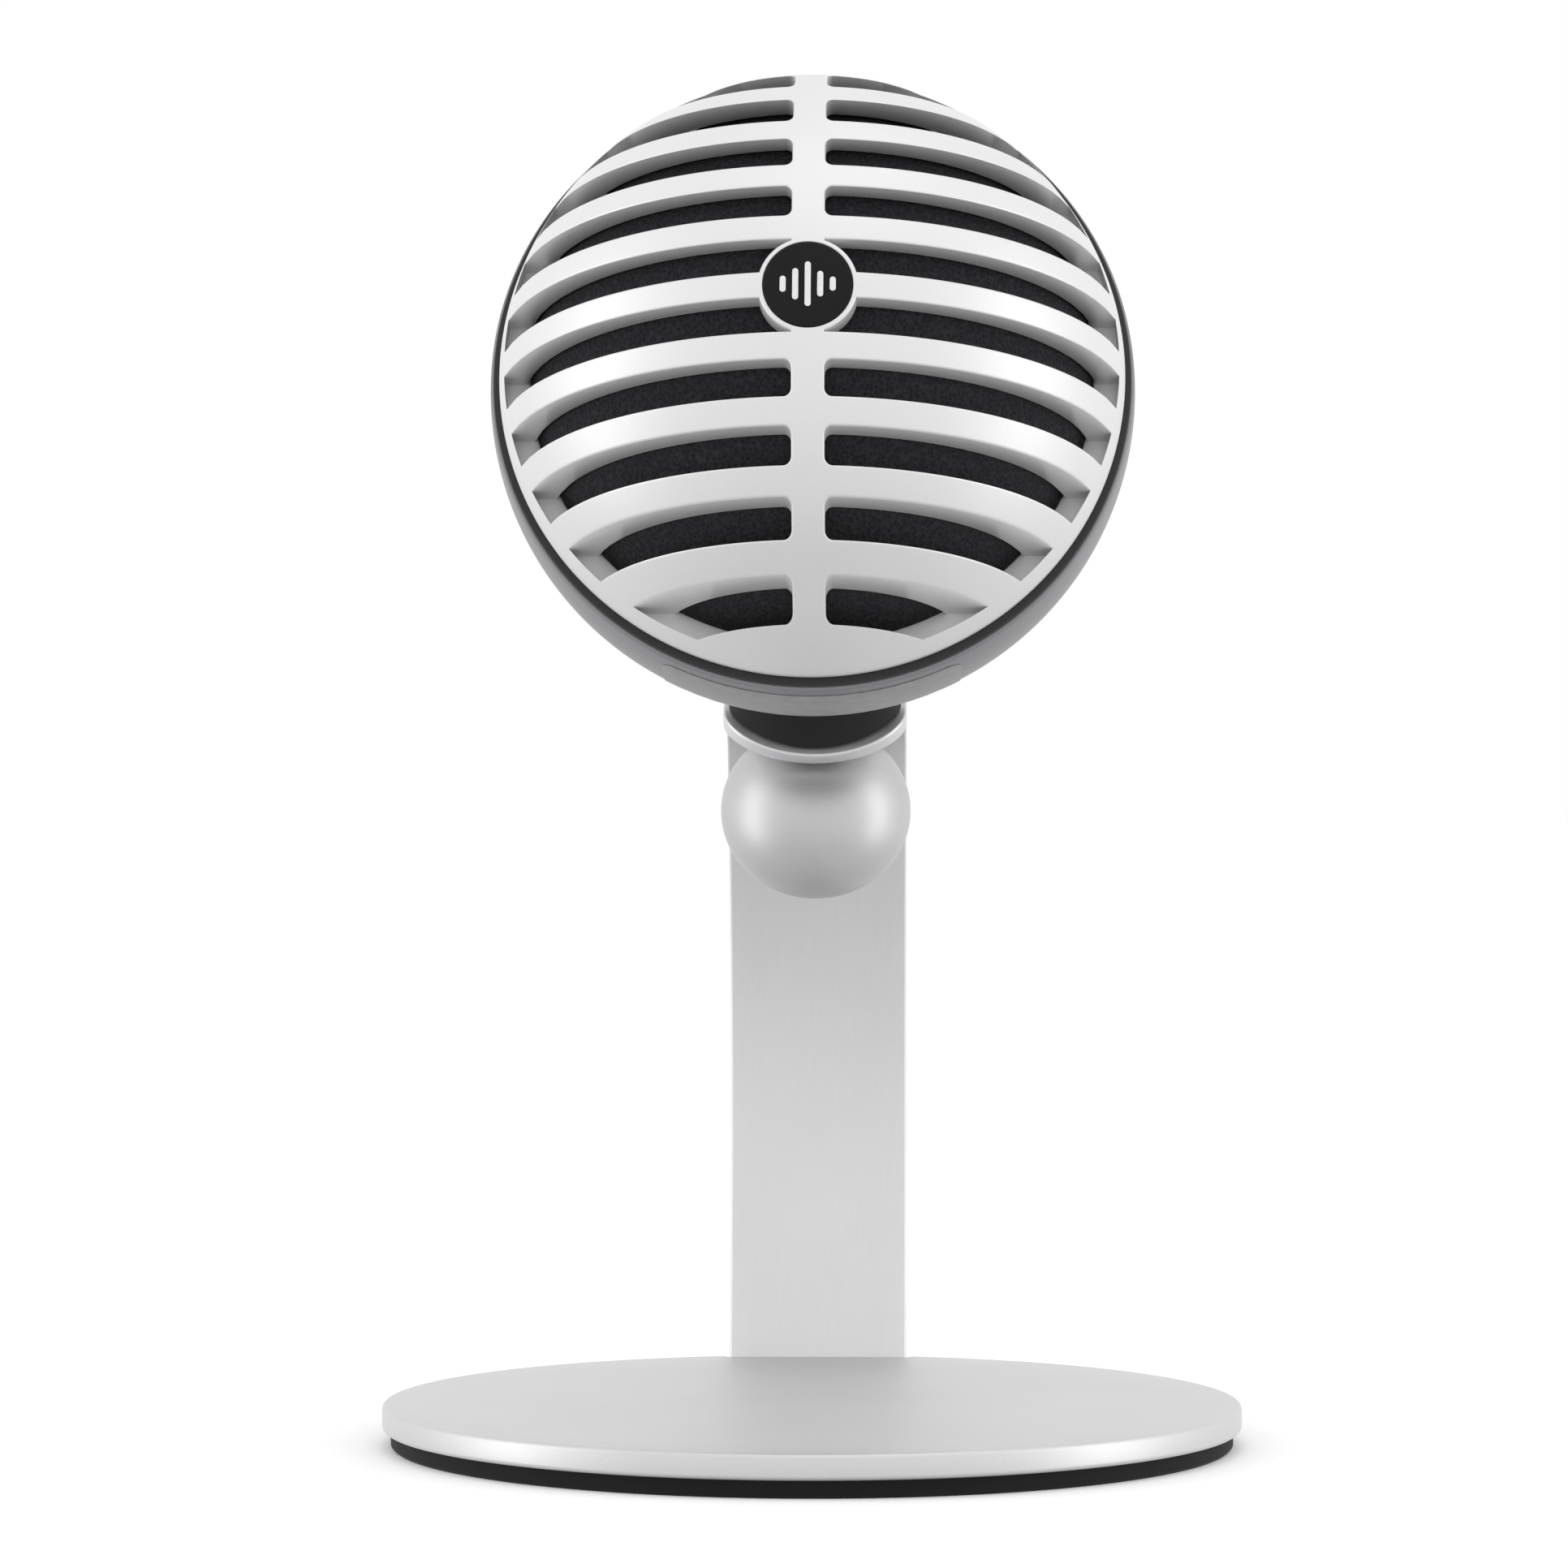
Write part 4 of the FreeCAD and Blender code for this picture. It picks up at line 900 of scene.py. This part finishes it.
def true_to_ball(mesh, centre, radius):
    """Gives the mesh's points that lie on a ball that ball's own normals, for an even sheen."""
    loop_normals = []
    for face in mesh.polygons:
        for corner in face.vertices:
            out = mesh.vertices[corner].co - centre
            facing = out.normalized().dot(face.normal) > BALL_FACING
            on_ball = facing and abs(out.length - radius) < BALL_SLACK
            loop_normals.append(out.normalized() if on_ball else Vector((0, 0, 0)))
    mesh.normals_split_custom_set(loop_normals)


# The flat step inside the rim, seen behind the ends of the slots.
STEP_VIEW = ((29.2, -4.3), (29.2, -6.1), (32.3, -6.1), (32.45, -4.3))
STEP_ROUND = 0.15 * MM
step_view = softened([(radius * MM, depth * MM) for radius, depth in STEP_VIEW], STEP_ROUND)
step_vertices, step_faces = turned(step_view)
shift = len(vertices)
vertices += step_vertices
faces += [tuple(corner + shift for corner in face) for face in step_faces]

satin_silver, wire = new_finish("satin_silver")
silver_flake = grain(wire, 5200.0)
silver_cloud = grain(wire, 90.0)
plug_in(satin_silver, {
    "Base Color": tint(wire, silver_flake * 0.6 + silver_cloud * 0.4,
                       (0.72, 0.72, 0.73), (0.82, 0.82, 0.825)),
    "Metallic": 0.55,
    "Roughness": 0.42 + 0.12 * silver_flake,
    "Normal": relief(wire, silver_flake, 0.18, 0.00004),
})
slotted_grille = finished_piece("slotted_grille", vertices, faces, satin_silver, "head", "silver_shell")
true_to_ball(slotted_grille.data, dome_centre, DOME_R)
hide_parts("grille_dome")


# Badge: a gloss black disc let into the seat, with a plain sound-level figure of upright bars.
BADGE_R = 4.45 * MM
BADGE_FACE = -32.75 * MM
BADGE_BACK = -30.4 * MM
BAR_W = 0.62 * MM
BAR_PITCH = 1.24 * MM
BAR_HEIGHTS = (1.7, 3.3, 4.7, 2.7, 1.5)
BAR_RAISE = 0.12 * MM
BAR_SUNK = 0.02 * MM
BAR_EDGE = 0.05 * MM
BAR_END_STEPS = 12
BADGE_ROUND = 0.14 * MM
BADGE_STEPS = 96

gloss_black, wire = new_finish("gloss_black")
gloss_wave = grain(wire, 400.0)
plug_in(gloss_black, {
    "Base Color": tint(wire, gloss_wave, (0.004, 0.004, 0.004), (0.008, 0.008, 0.009)),
    "Roughness": 0.20 + 0.06 * gloss_wave,
    "Specular IOR Level": 0.18,
    "Normal": relief(wire, gloss_wave, 0.05, 0.00005),
})
badge_corners = [(0.0, BADGE_FACE), (BADGE_R, BADGE_FACE), (BADGE_R, BADGE_BACK), (0.0, BADGE_BACK)]
badge_view = softened(badge_corners, BADGE_ROUND)
badge_plate = finished_piece("badge_plate", *turned(badge_view, in_head, BADGE_STEPS), gloss_black,
                             "head", "badge_black")
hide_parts("badge_disc")

bright_metal, wire = new_finish("bright_metal")
bright_speck = grain(wire, 3000.0)
plug_in(bright_metal, {
    "Base Color": tint(wire, bright_speck, (0.72, 0.72, 0.72), (0.86, 0.86, 0.86)),
    "Metallic": 0.8,
    "Roughness": 0.3 + 0.1 * bright_speck,
})


def bar_face(point, depth):
    return in_head(point[0], BADGE_FACE - BAR_RAISE + depth, point[1])


def bar_foot(point, depth):
    return in_head(point[0], BADGE_FACE + BAR_SUNK - depth, point[1])


vertices = []
faces = []
for place, height in enumerate(BAR_HEIGHTS):
    middle = (place - (len(BAR_HEIGHTS) - 1) / 2) * BAR_PITCH
    reach = height * MM / 2 - BAR_W / 2

    def bar_outline(inset):
        half = BAR_W / 2 - inset
        return (round_between((middle, reach), half, 0, math.pi, BAR_END_STEPS)
                + round_between((middle, -reach), half, math.pi, 2 * math.pi, BAR_END_STEPS))

    bar_vertices, bar_faces = plate([edge_rings(bar_outline, bar_face, bar_foot, BAR_EDGE)],
                                    [(middle, 0.0)], bar_face, bar_foot)
    faces += [tuple(corner + len(vertices) for corner in face) for face in bar_faces]
    vertices += bar_vertices
level_bars = finished_piece("level_bars", vertices, faces, bright_metal, "head", "badge_silver")
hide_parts("badge_bars")


# Ball knob: turned from steel bar on its stud's axis, flattened under the washer and dimpled at
# its far end, with the faint rings that the tool left, then satin plated.
BALL_R = 10.34 * MM
BALL_POLAR_R = 9.4 * MM
BALL_SIDE_R = 8.8 * MM
BALL_FLAT = 8.5 * MM
DIMPLE_R = 1.9 * MM
DIMPLE_DEPTH = 0.9 * MM
BORE_R = 3.05 * MM
BORE_END = -2.0 * MM
BALL_ROUND = 0.25 * MM
POLE_STEPS = 20
SIDE_STEPS = 48
SHOULDER_STEPS = 16
BALL_STEPS = 160

stud_axis = Vector(joints["knob_turn"]["axis"])
stud_side = side_way.cross(stud_axis)


def on_stud(x, along, z):
    """A point given across and along the stud, in the model's frame."""
    return pivot + side_way * x + stud_axis * along + stud_side * z


end_r = BALL_R ** 2 + BALL_POLAR_R ** 2 - 2 * BALL_R * BALL_SIDE_R
end_r /= 2 * (BALL_POLAR_R - BALL_SIDE_R)
side_out = BALL_R - BALL_SIDE_R
end_down = end_r - BALL_POLAR_R
join_turn = math.atan2(end_down, side_out)
dimple_turn = math.acos(DIMPLE_R / end_r)
flat_turn = math.asin((BALL_FLAT + end_down) / end_r)
ball_view = [(0.0, DIMPLE_DEPTH - BALL_POLAR_R), (DIMPLE_R, DIMPLE_DEPTH - BALL_POLAR_R)]
ball_view += arc(end_down, end_r, -dimple_turn, -join_turn, POLE_STEPS)
side_arc = arc(0, BALL_SIDE_R, -join_turn, join_turn, SIDE_STEPS)
ball_view += [(side_out + radius, along) for radius, along in side_arc[1:]]
ball_view += arc(-end_down, end_r, join_turn, flat_turn, SHOULDER_STEPS)[1:]
ball_view += [(BORE_R, BALL_FLAT), (BORE_R, BORE_END), (0.0, BORE_END)]

turned_steel, wire = new_finish("turned_steel")
along_stud = wire.make("VectorMath", {"operation": "DOT_PRODUCT"},
                       {0: wire.make("TexCoord", out=3), 1: tuple(stud_axis)}, out=1)
tool_rings = wire.make("TexNoise", {"noise_dimensions": "1D"}, {"W": along_stud, "Scale": 9000.0})
ball_cloud = grain(wire, 160.0)
plug_in(turned_steel, {
    "Base Color": tint(wire, tool_rings * 0.4 + ball_cloud * 0.6,
                       (0.50, 0.50, 0.51), (0.64, 0.64, 0.645)),
    "Metallic": 0.85,
    "Roughness": 0.40 + 0.12 * tool_rings,
    "Normal": relief(wire, tool_rings, 0.10, 0.00002),
})
tilt_ball = finished_piece("tilt_ball", *turned(softened(ball_view, BALL_ROUND), on_stud, BALL_STEPS),
                           turned_steel, "knob", "satin_steel")
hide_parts("ball_knob")


# Stud, washer and insert: a rolled steel stud fixed in the ball, a nylon washer between ball and
# curl, and the brass insert in the housing that the stud screws into.
THREAD_PITCH = 1.27 * MM
THREAD_START = 0.1

rolled_steel, wire = new_finish("rolled_steel")
along_stud = wire.make("VectorMath", {"operation": "DOT_PRODUCT"},
                       {0: wire.make("TexCoord", out=3), 1: tuple(stud_axis)}, out=1)
thread_wave = wire.make("Math", {"operation": "PINGPONG"},
                        {0: along_stud + THREAD_START, 1: THREAD_PITCH / 2})
plug_in(rolled_steel, {
    "Base Color": tint(wire, thread_wave / (THREAD_PITCH / 2), (0.22, 0.22, 0.23), (0.55, 0.55, 0.56)),
    "Metallic": 1.0,
    "Roughness": 0.3 + 0.15 * grain(wire, 2000.0),
    "Normal": relief(wire, thread_wave * (1 / MM), 0.9, 0.0006),
})
dress("knob_stud", rolled_steel)

nylon_grey, wire = new_finish("nylon_grey")
nylon_cloud = grain(wire, 900.0)
plug_in(nylon_grey, {
    "Base Color": tint(wire, nylon_cloud, (0.34, 0.34, 0.33), (0.46, 0.46, 0.45)),
    "Roughness": 0.45 + 0.15 * nylon_cloud,
    "Normal": relief(wire, nylon_cloud, 0.2, 0.00005),
})
dress("saddle_washer", nylon_grey)

machined_brass, wire = new_finish("machined_brass")
brass_rings = grain(wire, 2500.0)
plug_in(machined_brass, {
    "Base Color": tint(wire, brass_rings, (0.52, 0.36, 0.14), (0.70, 0.52, 0.24)),
    "Metallic": 1.0,
    "Roughness": 0.25 + 0.2 * brass_rings,
    "Normal": relief(wire, brass_rings, 0.2, 0.00004),
})
dress("thread_insert", machined_brass)


# Foot and back panel: black mouldings with a fine spark grain, one between curl and housing,
# the other in the back of the head; the thumbwheel is moulded in the same plastic.
spark_black, wire = new_finish("spark_black")
spark_grain = grain(wire, 4200.0, detail=6.0)
spark_cloud = grain(wire, 120.0)
plug_in(spark_black, {
    "Base Color": tint(wire, spark_grain * 0.6 + spark_cloud * 0.4,
                       (0.007, 0.007, 0.008), (0.020, 0.020, 0.021)),
    "Roughness": 0.52 + 0.18 * spark_grain,
    "Specular IOR Level": 0.22,
    "Normal": relief(wire, spark_grain, 0.5, 0.00008),
})
for name in ("head_foot", "back_panel", "volume_wheel", "wheel_bracket", "tact_switches"):
    dress(name, spark_black, 30)


# Inner frame: the moulded plate across the head, in dark grey with a duller grain.
frame_grey, wire = new_finish("frame_grey")
frame_grain = grain(wire, 2400.0)
plug_in(frame_grey, {
    "Base Color": tint(wire, frame_grain, (0.028, 0.028, 0.030), (0.055, 0.055, 0.058)),
    "Roughness": 0.55 + 0.2 * frame_grain,
    "Normal": relief(wire, frame_grain, 0.3, 0.00006),
})
dress("inner_frame", frame_grey, 30)


# Capsule: a drawn metal can with a punched cover, in a soft rubber cup, and its two leads in
# red insulation.
dress("capsule_holder", pad_rubber, 30)
drawn_can, wire = new_finish("drawn_can")
can_lines = grain(wire, 1800.0, (0.3, 4.0, 0.3))
plug_in(drawn_can, {
    "Base Color": tint(wire, can_lines, (0.50, 0.50, 0.50), (0.68, 0.68, 0.67)),
    "Metallic": 1.0,
    "Roughness": 0.24 + 0.18 * can_lines,
    "Normal": relief(wire, can_lines, 0.15, 0.00003),
})
for name in ("capsule", "capsule_mesh"):
    dress(name, drawn_can, 30)

lead_red, wire = new_finish("lead_red")
lead_mottle = grain(wire, 1500.0)
plug_in(lead_red, {
    "Base Color": tint(wire, lead_mottle, (0.36, 0.02, 0.015), (0.52, 0.04, 0.03)),
    "Roughness": 0.35 + 0.15 * lead_mottle,
    "Normal": relief(wire, lead_mottle, 0.15, 0.00004),
})
dress("capsule_leads", lead_red)


# Circuit boards: glass-fibre laminate under green solder mask, with copper tracks that show
# through it as paler lines.
TRACK_CELLS = 260.0
TRACK_HALF = 0.06
board_mask, wire = new_finish("board_mask")
track_gap = wire.make("TexVoronoi", {"feature": "DISTANCE_TO_EDGE"},
                      {"Vector": wire.make("TexCoord", out=3), "Scale": TRACK_CELLS, "Randomness": 0.55})
track_mask = wire.make("Math", {"operation": "LESS_THAN"}, {0: track_gap, 1: TRACK_HALF})
mask_weave = grain(wire, 3000.0)
plug_in(board_mask, {
    "Base Color": tint(wire, track_mask * 0.7 + mask_weave * 0.3,
                       (0.006, 0.075, 0.028), (0.035, 0.20, 0.085)),
    "Roughness": 0.26 + 0.12 * mask_weave,
    "Normal": relief(wire, track_mask, 0.3, 0.00008),
})
for name in ("main_board", "io_board"):
    dress(name, board_mask, 30)

chip_resin, wire = new_finish("chip_resin")
resin_grain = grain(wire, 3600.0)
plug_in(chip_resin, {
    "Base Color": tint(wire, resin_grain, (0.012, 0.012, 0.012), (0.032, 0.032, 0.032)),
    "Roughness": 0.5 + 0.2 * resin_grain,
    "Normal": relief(wire, resin_grain, 0.35, 0.00006),
})
dress("board_chips", chip_resin, 30)

header_cream, wire = new_finish("header_cream")
header_ribs = wire.make("TexWave", {"bands_direction": "X"},
                        {"Vector": wire.make("TexCoord", out=3), "Scale": 160.0})
plug_in(header_cream, {
    "Base Color": tint(wire, header_ribs, (0.50, 0.46, 0.36), (0.68, 0.64, 0.52)),
    "Roughness": 0.45 + 0.1 * grain(wire, 2000.0),
    "Normal": relief(wire, header_ribs, 0.4, 0.0001),
})
dress("board_headers", header_cream, 30)

cable_grey, wire = new_finish("cable_grey")
cable_ribs = wire.make("TexWave", {"bands_direction": "X"},
                       {"Vector": wire.make("TexCoord", out=3), "Scale": 320.0})
plug_in(cable_grey, {
    "Base Color": tint(wire, cable_ribs, (0.15, 0.15, 0.155), (0.26, 0.26, 0.265)),
    "Roughness": 0.4 + 0.1 * grain(wire, 2000.0),
    "Normal": relief(wire, cable_ribs, 0.8, 0.0002),
})
dress("board_cable", cable_grey, 30)


# Sockets and lights: a nickel-plated socket shell, a headphone socket moulded in gloss black,
# and two clear light pipes.
nickel_plate, wire = new_finish("nickel_plate")
nickel_lines = grain(wire, 1500.0, (4.0, 0.4, 0.4))
plug_in(nickel_plate, {
    "Base Color": tint(wire, nickel_lines, (0.48, 0.47, 0.45), (0.64, 0.63, 0.61)),
    "Metallic": 1.0,
    "Roughness": 0.22 + 0.14 * nickel_lines,
    "Normal": relief(wire, nickel_lines, 0.12, 0.00003),
})
dress("usb_socket", nickel_plate, 30)
dress("jack_socket", gloss_black, 30)

pipe_clear, wire = new_finish("pipe_clear")
pipe_haze = grain(wire, 1200.0)
plug_in(pipe_clear, {
    "Base Color": tint(wire, pipe_haze, (0.50, 0.58, 0.52), (0.72, 0.80, 0.74)),
    "Roughness": 0.12 + 0.1 * pipe_haze,
    "Coat Weight": 0.4,
    "Normal": relief(wire, pipe_haze, 0.08, 0.00004),
})
dress("led_pipes", pipe_clear)


# Buttons: two round caps moulded in grey and sprayed satin silver, polished a little on top
# where a finger presses.
button_silver, wire = new_finish("button_silver")
button_flake = grain(wire, 5200.0)
button_rub = grain(wire, 500.0)
plug_in(button_silver, {
    "Base Color": tint(wire, button_flake * 0.5 + button_rub * 0.5,
                       (0.44, 0.44, 0.45), (0.60, 0.60, 0.61)),
    "Metallic": 0.55,
    "Roughness": 0.24 + 0.16 * button_rub,
    "Normal": relief(wire, button_flake, 0.15, 0.00004),
})
for name in ("mode_button", "mute_button"):
    dress(name, button_silver)
